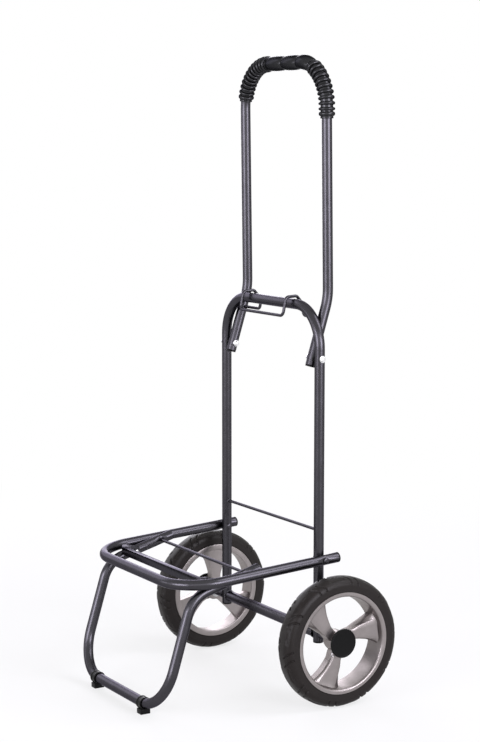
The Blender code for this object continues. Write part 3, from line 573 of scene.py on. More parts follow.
def turned(profile, centre=Vector((0, 0, 0)), sides=ROUND_SIDES, closed=False):
    """Spins (x, r) points about the X axis through the centre."""
    shape = bmesh.new()
    verts = [shape.verts.new(centre + Vector((x, 0, r))) for x, r in profile]
    pairs = list(zip(verts, verts[1:]))
    if closed:
        pairs.append((verts[-1], verts[0]))
    edges = [shape.edges.new(pair) for pair in pairs]
    bmesh.ops.spin(
        shape, geom=verts + edges, cent=centre, axis=(1, 0, 0), angle=2 * math.pi, steps=sides,
        use_merge=True,
    )
    return shape


def ring_outline(start, end, bore, outer):
    return [(start, bore), (start, outer), (end, outer), (end, bore)]


def joined(shape, *others):
    """Adds the faces of other meshes to a mesh."""
    for other in others:
        carrier = bpy.data.meshes.new("carrier")
        other.to_mesh(carrier)
        other.free()
        shape.from_mesh(carrier)
        bpy.data.meshes.remove(carrier)
    return shape


def dome(seat, height, radius, flat=0.25, steps=8):
    """(x, r) points of a rounded head that rises from its seat to a small flat."""
    points = []
    for index in range(steps + 1):
        turn = math.pi / 2 * index / steps
        points.append((seat + height * math.sin(turn), radius * (flat + (1 - flat) * math.cos(turn))))
    return points + [(seat + height, 0)]


def crimp_marks(centre, line, span):
    """Stations' points for the stretch of a tube that is pinched, from behind it to beyond it."""
    return [centre + line * span * k / CRIMP_STATIONS for k in range(-CRIMP_STATIONS, CRIMP_STATIONS + 1)]


def crimp(shape, centre, line, middle_x, thin_half, span):
    """Pinches a tube across X near a point on its line, on both sides of the trolley."""
    squeeze = 1 - thin_half / TUBE_R
    for vert in shape.verts:
        along = abs((vert.co - Vector((vert.co.x, centre.y, centre.z))).dot(line))
        if along < span:
            share = 0.5 + 0.5 * math.cos(math.pi * along / span)
            middle = math.copysign(middle_x, vert.co.x)
            vert.co.x = middle + (vert.co.x - middle) * (1 - squeeze * math.sqrt(share))


def dimple(shape, centre, middle_x, outward, depth, radius):
    """Presses a round hollow into the outer or inner side of both tubes, round an X axis."""
    for vert in shape.verts:
        side = math.copysign(1, vert.co.x)
        away = math.hypot(vert.co.y - centre.y, vert.co.z - centre.z)
        if away < radius and (abs(vert.co.x) - middle_x) * outward > 0:
            vert.co.x -= side * outward * depth * (0.5 + 0.5 * math.cos(math.pi * away / radius))


def plug(end, outward, depth):
    """A moulded plug: a tapered stem in the bore and a rounded, dished flange over the tube's rim."""
    stem_r = BORE_R - GAP
    outer = GAP + PLUG_FLANGE
    floor = outer - PLUG_DISH
    profile = [(-depth, 0), (-depth, stem_r * PLUG_TAPER), (-depth * PLUG_TAPER, stem_r), (GAP, stem_r),
               (GAP, TUBE_R), (outer, TUBE_R), (outer, TUBE_R * PLUG_DISH_R),
               (floor, TUBE_R * PLUG_DISH_FLOOR_R), (floor, 0)]
    shape = turned(eased(profile, PLUG_ROUND))
    facing = Vector((1, 0, 0)).rotation_difference(outward).to_matrix().to_4x4()
    return moved(shape, Matrix.Translation(end) @ facing)


def weld(centre, radius, sides=36):
    """A rippled weld bead round a bar along X, pressed against the face that it is welded to."""
    turns = [math.radians(degrees) for degrees in range(0, 360, WELD_STEP)]
    bead = [(WELD_R * math.cos(turn), radius + WELD_R * math.sin(turn)) for turn in turns]
    shape = turned(bead, closed=True, sides=sides * 2)
    for vert in shape.verts:
        turn = math.atan2(vert.co.z, vert.co.y)
        swell = 1 + WELD_RIPPLE / radius * math.sin(turn * sides / 3)
        vert.co.y *= swell
        vert.co.z *= swell
    return moved(shape, Matrix.Translation(centre))


# Rear frame
def rear_frame():
    toe = Vector((LEG_X, LEG_Y, TOE_Z))
    corners = mirror_corners([toe, Vector((LEG_X, LEG_Y, ARCH_Z))])
    arch = tube(bent_route(corners, [ARCH_BEND_R] * 2))
    leg_face = LEG_X - TUBE_R
    for side in (-1, 1):
        joined(arch, weld(Vector((side * leg_face, LEG_Y, AXLE.z)), AXLE_TUBE_R))
        joined(arch, weld(Vector((side * leg_face, LEG_Y, BACK_ROD_Z)), BACK_ROD_R, 12))
    publish("rear_frame_tube", "rear_frame", "frame_paint", arch)
    publish("back_cross_rod", "rear_frame", "frame_paint",
            cross_rod(LEG_X - GAP, LEG_Y, BACK_ROD_Z, BACK_ROD_R))
    depth = AXLE.z - TOE_Z - AXLE_R - PIN_PLAY
    publish_pair("leg_plug", "rear_frame", "black_plastic", plug, toe, Vector((0, 0, -1)), depth)


def cross_rod(reach, y, z, radius):
    """A round bar along X from -reach to reach."""
    ends = [Vector((-reach, y, z)), Vector((reach, y, z))]
    return solid_rod(bent_route(ends, []), [radius] * 2)


def axle_ring(part, radius, centre):
    """A pipe on the axle rod, as long as its CAD node."""
    start, end = low(part).x, high(part).x
    outline = ring_outline(start, end, AXLE_R + PIN_PLAY, radius)
    return turned(eased(outline, CUT_EDGE), centre, closed=True)


def axle():
    centre = Vector((0, LEG_Y, AXLE.z))
    publish("axle_tube", "rear_frame", "frame_paint", axle_ring("axle_tube", AXLE_TUBE_R, centre))
    rod = high("axle_rod").x
    profile = eased([(-rod, 0), (-rod, AXLE_R), (rod, AXLE_R), (rod, 0)], AXLE_NOSE)
    publish("axle_rod", "rear_frame", "zinc_steel", turned(profile, centre))
    rings = (("axle_sleeve", "frame_paint", SLEEVE_R), ("wheel_washer", "zinc_steel", WASHER_R))
    for part, slot, radius in rings:
        publish_pair(part, "rear_frame", slot, axle_ring, f"{part}_right", radius, centre)


def hexagon(start, end, across_r, centre):
    """A hexagonal collar with bevelled corners."""
    shape = bmesh.new()
    pose = Matrix.Translation(centre + Vector((start, 0, 0))) @ Matrix.Rotation(math.pi / 2, 4, "Y")
    bmesh.ops.create_circle(shape, segments=6, radius=across_r, cap_ends=True, matrix=pose)
    pushed = bmesh.ops.extrude_face_region(shape, geom=shape.faces[:])["geom"]
    verts = [item for item in pushed if isinstance(item, bmesh.types.BMVert)]
    bmesh.ops.translate(shape, verts=verts, vec=(end - start, 0, 0))
    bmesh.ops.bevel(shape, geom=shape.edges[:], offset=NUT_EDGE, segments=2, profile=0.5, affect="EDGES",
                    material=-1)
    return shape


def cap_nut(seat, centre):
    """A hexagonal collar on its seat and the dome that closes it, towards -X."""
    start = seat - NUT_HEX
    cap = [(start, 0)] + dome(start, NUT_HEX - NUT_LENGTH, NUT_DOME_R, NUT_DOME_FLAT)
    return joined(hexagon(start, seat, NUT_R, centre), turned(cap, centre))


def fasteners():
    pivot = Vector((0, LEG_Y, HANDLE_PIVOT.z))
    hinge = Vector((0, LEG_Y, PLATFORM_PIVOT.z))
    leg_in, leg_out = LEG_X - TUBE_R - GAP, LEG_X + TUBE_R + GAP
    nut_seat = HANDLE_X - TUBE_R - GAP
    tip = low("handle_bolt_right").x
    flange = leg_out + BOLT_FLANGE
    arm_out = high("platform_rivet_right").x - RIVET_HEAD
    bolt = eased([(tip, 0), (tip, BOLT_R), (leg_out, BOLT_R), (leg_out, BOLT_HEAD_R), (flange, BOLT_HEAD_R),
                  (flange, BOLT_STEP_R)], CUT_EDGE)
    bolt += dome(flange, BOLT_HEAD - BOLT_FLANGE, BOLT_DOME_R)
    spacer = eased(ring_outline(HANDLE_X + TUBE_R + GAP, leg_in, BOLT_R + PIN_PLAY, SPACER_R), SPACER_EDGE)
    inner_head = dome(leg_in, -RIVET_HEAD, RIVET_HEAD_R)
    outer_head = dome(arm_out, RIVET_HEAD, RIVET_HEAD_R)
    rivet = inner_head[::-1] + [(leg_in, RIVET_R), (arm_out, RIVET_R)] + outer_head
    publish_pair("handle_bolt", "rear_frame", "chrome", turned, bolt, pivot)
    publish_pair("handle_nut", "rear_frame", "chrome", cap_nut, nut_seat, pivot)
    publish_pair("handle_spacer", "rear_frame", "black_plastic", turned, spacer, pivot, ROUND_SIDES, True)
    publish_pair("platform_rivet", "rear_frame", "frame_paint", turned, rivet, hinge)


# Handle
def handle_corners():
    """The right half of the handle's route: lower end, bolt, knee and top corner."""
    pivot = Vector((HANDLE_X, LEG_Y, HANDLE_PIVOT.z))
    knee = pivot + Vector((0, HANDLE_KNEE_BACK, HANDLE_KNEE_UP))
    tail = pivot - (knee - pivot).normalized() * HANDLE_TAIL
    return tail, pivot, knee, Vector((HANDLE_X, HANDLE_TOP_Y, HANDLE_TOP_Z))


def handle_route():
    tail, _, knee, top = handle_corners()
    bends = [HANDLE_KNEE_R, HANDLE_BEND_R, HANDLE_BEND_R, HANDLE_KNEE_R]
    return bent_route(mirror_corners([tail, knee, top]), bends)


def handle():
    tail, pivot, _, _ = handle_corners()
    publish("handle_tube", "handle", "frame_paint", tube(handle_route()))
    depth = HANDLE_TAIL - BOLT_R - 2 * PIN_PLAY
    publish_pair("handle_plug", "handle", "black_plastic", plug, tail, (tail - pivot).normalized(), depth)


def stations_at(route, distances):
    """Stations of a route at distances from its middle, counted towards the right (+X)."""
    lengths = [0.0]
    for (start, _), (end, _) in zip(route, route[1:]):
        lengths.append(lengths[-1] + (end - start).length)
    found = []
    for distance in distances:
        reach = lengths[-1] / 2 - distance
        index = next(i for i in range(1, len(lengths)) if lengths[i] >= reach or i == len(lengths) - 1)
        share = (reach - lengths[index - 1]) / (lengths[index] - lengths[index - 1])
        (start, heading), (end, onward) = route[index - 1], route[index]
        found.append((start.lerp(end, share), heading.slerp(onward, share)))
    return found


def grip_piece(name, marks):
    """A vinyl moulding round the handle's tube, from (distance from the middle, radius) marks."""
    _, _, knee, top = handle_corners()
    route = bent_route(mirror_corners([knee.lerp(top, 0.5), top]), [HANDLE_BEND_R] * 2, GRIP_BEND_STEP)
    stations = stations_at(route, [distance for distance, _ in marks])
    shape = skin_and_bore(stations, [radius for _, radius in marks], TUBE_R + GAP, GRIP_SIDES)
    publish(name, "handle", "grip_vinyl", shape)


def swelling(start, end, root, crest, steps=14):
    """Marks of a round swelling between two places: half an ellipse on its root."""
    middle, half = (start + end) / 2, (end - start) / 2
    turns = [math.pi * step / steps for step in range(steps + 1)]
    return [(middle - half * math.cos(turn), root + (crest - root) * math.sin(turn)) for turn in turns]


def bulge_marks():
    """Three round bulges that meet in narrow seams."""
    marks = []
    for start, end in zip(GRIP_JOINTS, GRIP_JOINTS[1:]):
        marks += swelling(start + BULGE_SEAM, end - BULGE_SEAM, BULGE_WAIST_R, BULGE_R, BULGE_STEPS)
    return marks


def sleeve_marks(start, end, ribs):
    """A thin ring beside the bulges, the ribs, a large collar and a last thin ring."""
    sign = math.copysign(1, end - start)
    first = start + FIRST_RING * sign
    collar = end - (END_RING + COLLAR) * sign
    ring = end - END_RING * sign
    marks = swelling(start, first, RIB_ROOT_R, FIRST_RING_R, 8)
    pitch = (collar - first) / ribs
    for rib in range(ribs):
        middle = first + pitch * (rib + 0.5)
        reach = pitch * RIB_SHARE / 2
        marks += swelling(middle - reach, middle + reach, RIB_ROOT_R, RIB_R)
    marks += swelling(collar, ring - GAP * sign, RIB_ROOT_R, COLLAR_R)
    return marks + swelling(ring + GAP * sign, end, END_RING_R - GAP, END_RING_R, 6)


def grip():
    grip_piece("grip_centre", bulge_marks())
    for (word, side), joint in zip(SIDES, (GRIP_JOINTS[0], GRIP_JOINTS[-1])):
        length, ribs = SLEEVES[word]
        start = joint + side * GRIP_JOINT
        grip_piece(f"grip_sleeve_{word}", sleeve_marks(start, joint + side * length, ribs))


# Lock clip
def lock_clip():
    """The wire bail: in at the handle's tubes, up behind the arch's bar, over it, down to the front bar."""
    pin = Vector((0, CLIP_PIVOT.y, CLIP_PIVOT.z))
    swing = (Vector((0, LEG_Y, ARCH_Z)) - pin).length + TUBE_R + CLIP_R + CLIP_PLAY
    front = pin + Vector((0, -math.sqrt(swing ** 2 - CLIP_RISE ** 2), CLIP_RISE))
    tops = [Vector((CLIP_X, LEG_Y + back, ARCH_Z + up)) for back, up in (CLIP_REAR_TOP, CLIP_FRONT_TOP)]
    corners = [
        Vector((high("lock_clip").x, pin.y, pin.z)),
        Vector((CLIP_X, pin.y, pin.z)),
        Vector((CLIP_X, pin.y, ARCH_Z - CLIP_REAR_DOWN)),
        *tops,
        Vector((CLIP_X, front.y, front.z)),
    ]
    bends = [CLIP_CORNER_R, CLIP_TOP_R, CLIP_TOP_R, CLIP_TOP_R, CLIP_CORNER_R]
    stations = bent_route(mirror_corners(corners), bends + bends[::-1], 2 * BEND_STEP)
    publish("lock_clip", "clip", "frame_paint", solid_rod(stations, [CLIP_R] * len(stations)))


# Platform
def platform():
    pivot = Vector((ARM_X, LEG_Y, PLATFORM_PIVOT.z))
    nose = Vector((ARM_X, NOSE_Y, NOSE_Z))
    line = (nose - pivot).normalized()
    tail = pivot - line * PLATFORM_TAIL
    marks = crimp_marks(pivot, line, ARM_CRIMP_SPAN)
    marks += [pivot + line * ARM_RELIEF_REACH * share for share in ARM_RELIEF_MARKS]
    corners = mirror_corners([tail, *marks, nose])
    bends = [0] * len(marks) + [PLATFORM_BEND_R] * 2 + [0] * len(marks)
    shape = tube(bent_route(corners, bends))
    crimp(shape, pivot, line, ARM_X, ARM_CRIMP_HALF, ARM_CRIMP_SPAN)
    dimple(shape, pivot, ARM_X, 1, ARM_DIMPLE, ARM_DIMPLE_REACH)
    dimple(shape, pivot, ARM_X, -1, ARM_RELIEF, ARM_RELIEF_REACH)
    publish("platform_tube", "platform", "frame_paint", shape)
    depth = PLATFORM_TAIL - ARM_CRIMP_SPAN
    publish_pair("platform_plug", "platform", "black_plastic", plug, tail, -line, depth)
    rod = cross_rod(high("stand_pivot_rod").x, STAND_PIVOT.y, STAND_PIVOT.z, STAND_ROD_R)
    publish("stand_pivot_rod", "platform", "frame_paint", rod)


# Stand
def stand_line():
    """The stand's rod on the right, and the direction that its upper runs take from there."""
    rod = Vector((STAND_X, STAND_PIVOT.y, STAND_PIVOT.z))
    return rod, (STAND_KNEE - rod).normalized()


def stand():
    rod, line = stand_line()
    tail = rod - line * STAND_TAIL
    foot = Vector((STAND_X, FOOT_Y, FOOT_Z))
    marks = crimp_marks(rod, line, STAND_CRIMP_SPAN)
    corners = mirror_corners([tail, *marks, STAND_KNEE, foot])
    half_bends = [0] * len(marks) + [STAND_KNEE_R, STAND_BEND_R]
    shape = tube(bent_route(corners, half_bends + half_bends[::-1]))
    crimp(shape, rod, line, STAND_X, STAND_CRIMP_HALF, STAND_CRIMP_SPAN)
    dimple(shape, rod, STAND_X, -1, STAND_DIMPLE, STAND_DIMPLE_REACH)
    publish("stand_tube", "stand", "frame_paint", shape)
    publish_pair("foot_clip", "stand", "black_plastic", foot_clip)


def foot_clip():
    """A sleeve round the stand's bar with a rim at each end, and the flat block under it."""
    start, end = low("foot_clip_right").x, high("foot_clip_right").x
    centre = Vector((0, FOOT_Y, FOOT_Z))
    waist = FOOT_R - FOOT_RECESS
    bore = TUBE_R + GAP
    outline = [(start, bore), (start, FOOT_R), (start + FOOT_RIM, FOOT_R), (start + FOOT_RIM, waist),
               (end - FOOT_RIM, waist), (end - FOOT_RIM, FOOT_R), (end, FOOT_R), (end, bore)]
    sleeve = turned(eased(outline, FOOT_EDGE), centre, closed=True)
    block = bmesh.new()
    sole_top = FOOT_Z - TUBE_R - GAP
    size = Vector((end - start, 2 * FOOT_SOLE_HALF, sole_top))
    at = Vector(((start + end) / 2, FOOT_Y, sole_top / 2))
    bmesh.ops.create_cube(block, size=1, matrix=Matrix.Translation(at) @ Matrix.Diagonal((*size, 1)))
    bmesh.ops.bevel(block, geom=block.edges[:], offset=FOOT_SOLE_EDGE, segments=3, profile=0.5,
                    affect="EDGES", material=-1)
    return joined(sleeve, block)


def strip():
    """The angle strip between the stand's runs, with a riveted tab at each end."""
    rod, line = stand_line()
    front = low("stand_strip").y
    along_run = (front - rod.y) / line.y
    top = high("stand_strip").z - STRIP_TAB_RISE
    end_x = high("stand_strip").x
    shape = bmesh.new()
    section = [(front, top - STRIP_HEIGHT), (front, top), (front + STRIP_DEPTH, top),
               (front + STRIP_DEPTH, top - STRIP_SHEET), (front + STRIP_SHEET, top - STRIP_SHEET),
               (front + STRIP_SHEET, top - STRIP_HEIGHT)]
    prism(shape, section, -end_x, end_x)
    rivet_at = rod + line * (along_run - STRIP_TAB_LENGTH + STRIP_TAB_TAIL)
    up = Vector((0, -line.z, line.y)) * (-1 if line.y < 0 else 1)
    rear = rivet_at - line * STRIP_TAB_TAIL
    tab_top = top + STRIP_TAB_RISE
    tab = [(front, top - STRIP_HEIGHT), (front, tab_top), (front + STRIP_DEPTH, tab_top)]
    tab += [(corner.y, corner.z) for corner in (rear + up * STRIP_TAB_TAIL, rear - up * STRIP_TAB_TAIL)]
    for side in (-1, 1):
        prism(shape, tab, side * (end_x - STRIP_SHEET), side * end_x)
    bmesh.ops.recalc_face_normals(shape, faces=shape.faces)
    bmesh.ops.bevel(shape, geom=shape.edges[:], offset=CUT_EDGE, segments=2, profile=0.5, affect="EDGES",
                    material=-1)
    publish("stand_strip", "stand", "frame_paint", shape)
    head = end_x - STRIP_SHEET - GAP
    rivet = dome(head, -STRIP_RIVET_HEAD, STRIP_RIVET_HEAD_R)[::-1]
    rivet += [(head, STRIP_RIVET_R), (STAND_X, STRIP_RIVET_R), (STAND_X, 0)]
    middle = Vector((0, rivet_at.y, rivet_at.z))
    publish_pair("strip_rivet", "stand", "zinc_steel", turned, rivet, middle)


def prism(shape, outline, start_x, end_x):
    """Extrudes a (y, z) outline along X."""
    verts = [shape.verts.new((start_x, y, z)) for y, z in outline]
    face = shape.faces.new(verts)
    pushed = bmesh.ops.extrude_face_region(shape, geom=[face])["geom"]
    far = [item for item in pushed if isinstance(item, bmesh.types.BMVert)]
    bmesh.ops.translate(shape, verts=far, vec=(end_x - start_x, 0, 0))


# Wheels, made round the origin with the outer side to +X
TYRE_SIDE = 0.0925           # where the flat side of the tyre ends
TYRE_SHOULDER = ((0.0004, 0.0945), (0.0014, 0.0975), (0.0030, 0.0998), (0.0062, 0.1022), (0.0100, 0.1034))
TYRE_SECTION = (
    (TYRE_HALF, 0.0824),
    (TYRE_HALF, TYRE_SIDE),
    *((TYRE_HALF - inward, radius) for inward, radius in TYRE_SHOULDER),
    (0.0050, 0.1039),
    (0, WHEEL_R),
)
TYRE_STEP = 0.0011
TYRE_BEAD = 0.0008           # gap between the tyre's side and the rim's lip
TREAD_EDGE = 0.8             # share of the half width beyond which a groove also cuts into the side


def tyre_profile():
    """Half of the tyre's outside, from the rim's lip to the crown, in close steps."""
    points = [Vector((x, radius, 0)) for x, radius in TYRE_SECTION]
    fine = []
    for start, end in zip(points, points[1:]):
        steps = max(1, round((end - start).length / TYRE_STEP))
        fine += [start.lerp(end, step / steps) for step in range(steps)]
    return [(point.x, point.y) for point in fine] + [(0, WHEEL_R)]


GROOVES = (-3.75, 3.75)      # degrees from the middle of a motif
GROOVE_HALF = 1.15           # degrees
GROOVE_DEPTH = 0.0020
GROOVE_SLANT = 8.0           # degrees that a groove leans from shoulder to crown
GROOVE_BOW = 1.3             # above 1 bows the slanted groove
GROOVE_END = 0.18            # share of the half width where a groove ends
GROOVE_FADE = 0.10
GROOVE_WALL = 2.2            # steepness of a groove's sides
MOTIF = 36.0                 # degrees from one motif to the next
OUTER_MOTIF = 5.3
INNER_MOTIF = 27.6
LENS_HALF_LENGTH = 8.0       # degrees
LENS_HALF_WIDTH = 0.0034
LENS_DEPTH = 0.0011
LENS_X = 0.0118
LENS_WALL = 4


def tread_depth(x, degrees, radius):
    """How far the tread sinks at a place: two slanted grooves and a lens-shaped hollow in each motif."""
    if radius < TYRE_SIDE:
        return 0.0
    start = OUTER_MOTIF if x > 0 else INNER_MOTIF
    share = abs(x) / TYRE_HALF
    lean = GROOVE_SLANT * (1 - share) ** GROOVE_BOW
    here = (degrees - start - lean + MOTIF / 2) % MOTIF - MOTIF / 2
    sunk = 0.0
    if share > GROOVE_END:
        ends = min(1.0, (share - GROOVE_END) / GROOVE_FADE)
        for groove in GROOVES:
            off = abs(here - groove) / GROOVE_HALF
            if off < 1:
                sunk = max(sunk, GROOVE_DEPTH * ends * min(1.0, (1 - off) * GROOVE_WALL))
    lens = (degrees - start + MOTIF) % MOTIF - MOTIF / 2
    around = (lens / LENS_HALF_LENGTH) ** 2 + ((abs(x) - LENS_X) / LENS_HALF_WIDTH) ** 2
    if around < 1:
        sunk = max(sunk, LENS_DEPTH * min(1.0, (1 - around) * LENS_WALL))
    return sunk


def tyre():
    inner = [(TYRE_TONGUE_HALF - GAP, TYRE_TONGUE_R + GAP), (TYRE_TONGUE_HALF - GAP, TYRE_SEAT_R + GAP),
             (TYRE_HALF - TYRE_BEAD, TYRE_SEAT_R + GAP)]
    half = inner + tyre_profile()
    profile = half + [(-x, r) for x, r in half[-2::-1]]
    shape = turned(profile, sides=TREAD_STEPS, closed=True)
    for vert in shape.verts:
        radius = math.hypot(vert.co.y, vert.co.z)
        degrees = math.degrees(math.atan2(vert.co.z, vert.co.y))
        sunk = tread_depth(vert.co.x, degrees, radius)
        if sunk:
            vert.co.y *= 1 - sunk / radius
            vert.co.z *= 1 - sunk / radius
            if abs(vert.co.x) > TYRE_HALF * TREAD_EDGE:
                vert.co.x -= math.copysign(sunk * 0.5, vert.co.x)
    return shape


SPOKE_ROWS = (0.0120, 0.0160, 0.0210, 0.0300, 0.0400, 0.0520, 0.0620, 0.0690, 0.0722, 0.0745)
STRAIGHT_EDGE = ((0.0130, 45), (0.030, 24.5), (0.052, 20.5), (0.0753, 19.5))      # (radius, degrees)
PANEL_LINE = ((0.0130, 43), (0.030, 23.5), (0.052, 16.5), (0.0753, 11.3))
RIDGE = ((0.0130, 0), (0.030, -4.7), (0.052, -10.3), (0.0753, -13))
HOLLOW_EDGE = ((0.0130, -22), (0.030, -11), (0.052, -14.5), (0.0753, -21))
SPOKE_GROOVE = 0.0006        # the fine line between panel and shoulder
GROOVE_LIP = 0.0002
GROOVE_SIDE = 0.0004
GROOVE_FLOOR = 0.0008
WALL_EDGE = 0.0004           # rounding where a shoulder meets the spoke's wall
WALL_EASE = 0.0001
WALL_SHARE = 0.4
SHOULDER_CROWN = 0.55        # height of the straight shoulder's middle, as a share
SHOULDER_STEPS = 8
PANEL_MARKS = (0.3, 0.6, 0.9)
BACK_MARKS = (0.3, 0.65)
FLARE_START = 0.0685         # the front rises into the rim's lip from here
FLARE_RISE = 0.0022
FLARE_LENGTH = 0.0060


def read_table(marks, radius):
    """The angle at a radius, between the table's marks."""
    for (near, first), (far, second) in zip(marks, marks[1:]):
        if radius <= far:
            return math.radians(first + (second - first) * max(0.0, (radius - near) / (far - near)))
    return math.radians(marks[-1][1])


def spoke_section(radius):
    """The spoke's outline at a radius, as (x, angle): wall, shoulder, groove, panel, shoulder, wall."""
    straight, line = read_table(STRAIGHT_EDGE, radius), read_table(PANEL_LINE, radius)
    ridge, hollow = read_table(RIDGE, radius), read_table(HOLLOW_EDGE, radius)
    front = SPOKE_FRONT + FLARE_RISE * max(0.0, (radius - FLARE_START) / FLARE_LENGTH) ** 2
    eave = front - SPOKE_SHOULDER
    notch = min(SPOKE_GROOVE / radius, (straight - line) / 3)
    section = [(SPOKE_BACK, straight), (eave - WALL_EDGE, straight),
               (eave + WALL_EASE, straight - notch * WALL_SHARE),
               (eave + SPOKE_SHOULDER * SHOULDER_CROWN, (straight + line) / 2),
               (front - GROOVE_SIDE, line + notch), (front - GROOVE_FLOOR, line + notch * 0.5),
               (front - GROOVE_LIP, line), (front, line - notch)]
    section += [(front, line + (ridge - line) * share) for share in PANEL_MARKS]
    for step in range(SHOULDER_STEPS):
        turn = math.pi / 2 * (step + 0.5) / SHOULDER_STEPS
        drop = SPOKE_SHOULDER * (1 - math.cos(turn))
        section.append((front - drop, ridge + (hollow - ridge) * math.sin(turn)))
    section += [(eave - 2 * WALL_EDGE, hollow), (SPOKE_BACK, hollow)]
    return section + [(SPOKE_BACK, hollow + (straight - hollow) * share) for share in BACK_MARKS]


def spoke():
    """One broad spoke: a flat panel with a shoulder on each side, bridged from row to row."""
    shape = bmesh.new()
    rows = []
    for radius in SPOKE_ROWS:
        verts = [shape.verts.new((x, radius * math.cos(turn), radius * math.sin(turn)))
                 for x, turn in spoke_section(radius)]
        rows.append([shape.edges.new(pair) for pair in zip(verts, verts[1:] + verts[:1])])
    for near, far in zip(rows, rows[1:]):
        bmesh.ops.bridge_loops(shape, edges=near + far)
    bmesh.ops.edgeloop_fill(shape, edges=rows[0])
    bmesh.ops.edgeloop_fill(shape, edges=rows[-1])
    return shape


def rim():
    """The wheel's barrel with its rounded front lip and the tyre's groove, the hub and the spokes."""
    inside = (RIM_LIP_X, RIM_FRONT_R - RIM_LIP_SLOPE)
    lip = eased([(TYRE_HALF, RIM_LIP_TOP), (TYRE_HALF, RIM_FRONT_R + RIM_LIP_SLOPE), inside],
                RIM_LIP_ROUND, 10)
    back = eased([inside, (-TYRE_HALF, RIM_BACK_R), (-TYRE_HALF, TYRE_SEAT_R),
                  (-TYRE_TONGUE_HALF, TYRE_SEAT_R)], RIM_EDGE_ROUND)
    groove = [(-TYRE_TONGUE_HALF, TYRE_TONGUE_R), (TYRE_TONGUE_HALF, TYRE_TONGUE_R),
              (TYRE_TONGUE_HALF, TYRE_SEAT_R), (TYRE_HALF - RIM_LIP_SEAT, TYRE_SEAT_R)]
    shape = turned(lip + back[1:] + groove, sides=RIM_SIDES, closed=True)
    bore = AXLE_R + PIN_PLAY + BUSH_WALL + GAP
    hub = [(-TYRE_HALF, bore), (-TYRE_HALF, HUB_BACK_R), (-TYRE_HALF + HUB_TAPER, HUB_R), (HUB_FACE, HUB_R),
           (HUB_FACE, bore)]
    joined(shape, turned(eased(hub, HUB_EDGE), closed=True, sides=HUB_SIDES))
    for index in range(SPOKE_COUNT):
        joined(shape, moved(spoke(), Matrix.Rotation(2 * math.pi * index / SPOKE_COUNT, 4, "X")))
    return shape


def hub_cap():
    """The flat cap with a soft edge, on the boss that the wheel clip's wire straddles."""
    seat = HUB_FACE + GAP
    back = HUB_FACE + CLIP_SLOT
    face = back + CAP_THICK
    hollow = face - CAP_RIM_RISE
    rim_r = CAP_R - CAP_RIM
    profile = [(seat, 0), (seat, CAP_BOSS_R), (back, CAP_BOSS_R), (back, CAP_R), (face, CAP_R),
               (face, rim_r), (hollow, rim_r - CAP_RIM_RISE), (hollow, 0)]
    return turned(eased(profile, CAP_EDGE), sides=CAP_SIDES)


def wheel_clip():
    """A hairpin of thin bright wire whose bend stands out below the cap."""
    x = HUB_FACE + CLIP_SLOT / 2
    leg = CAP_BOSS_R + WIRE_R + GAP
    half = [Vector((x, -leg, leg)), Vector((x, leg / 2, leg)), Vector((x, WIRE_TIP_R - WIRE_R, 0))]
    corners = half + [Vector((p.x, p.y, -p.z)) for p in half[-2::-1]]
    stations = bent_route(corners, WIRE_BENDS, math.radians(10))
    return moved(solid_rod(stations, [WIRE_R] * len(stations), 12), Matrix.Rotation(WIRE_TURN, 4, "X"))


def bush():
    inner = AXLE_R + PIN_PLAY
    outline = ring_outline(-TYRE_HALF, HUB_FACE, inner, inner + BUSH_WALL - GAP)
    return turned(eased(outline, BUSH_EDGE), closed=True)


WHEEL_PIECES = (
    ("tyre", "tyre_rubber", tyre),
    ("wheel_rim", "rim_silver", rim),
    ("wheel_bush", "nylon", bush),
    ("hub_cap", "black_plastic", hub_cap),
    ("wheel_clip", "zinc_steel", wheel_clip),
)


def wheels():
    for word, side in SIDES:
        facing = Matrix.Rotation(0 if side > 0 else math.pi, 4, "Z")
        place = Matrix.Translation((side * AXLE.x, AXLE.y, AXLE.z)) @ facing
        for part, slot, maker in WHEEL_PIECES:
            turn = Matrix.Rotation(WHEEL_TURNS[word] if part == "wheel_rim" else 0, 4, "X")
            publish(f"{part}_{word}", f"wheel_{word}", slot, moved(maker(), place @ turn))


# Studio
CAMERA_AT = (2.5457, -1.4821, 0.8914)
CAMERA_HEADING = math.radians(59.214)    # from +Y towards -X
CAMERA_PITCH = math.radians(-7.2458)
CAMERA_LENS = 89.296
SENSOR = 36.0
FAR = 100.0
FLOOR_SIZE = 40.0
FLOOR_WHITE = (0.9, 0.9, 0.9, 1)
FLOOR_ROUGH = 0.9
WORLD_LIGHT = 0.30
FLOOR_GLOW = 0.70            # share of the floor's white near the trolley, which rises to 1 far away
GLOW_NEAR = 0.8
GLOW_FAR = 1.8
LAMP_TINT = (0.93, 0.91, 1.0)
LAMP_AIM = Vector((0, 0, 0.6))
LAMPS = (    # name, degrees from +X, distance, lower edge, height, width, glow as radiance
    ("front_box", -80, 4.0, 0.34, 1.6, 2.4, 8.5),
    ("right_box", 13, 4.0, 0.34, 1.9, 2.4, 9.2),
    ("wide_box", -30, 4.0, 0.60, 2.0, 4.0, 1.1),
    ("back_box", 158, 4.0, 0.50, 2.0, 1.9, 5.0),
    ("left_box", 190, 4.0, 0.90, 2.6, 3.0, 2.3),
    ("low_box", 238, 4.0, 0.34, 1.2, 1.6, 2.4),
    ("high_box", 50, 3.0, 2.4, 2.6, 2.0, 5.0),
)


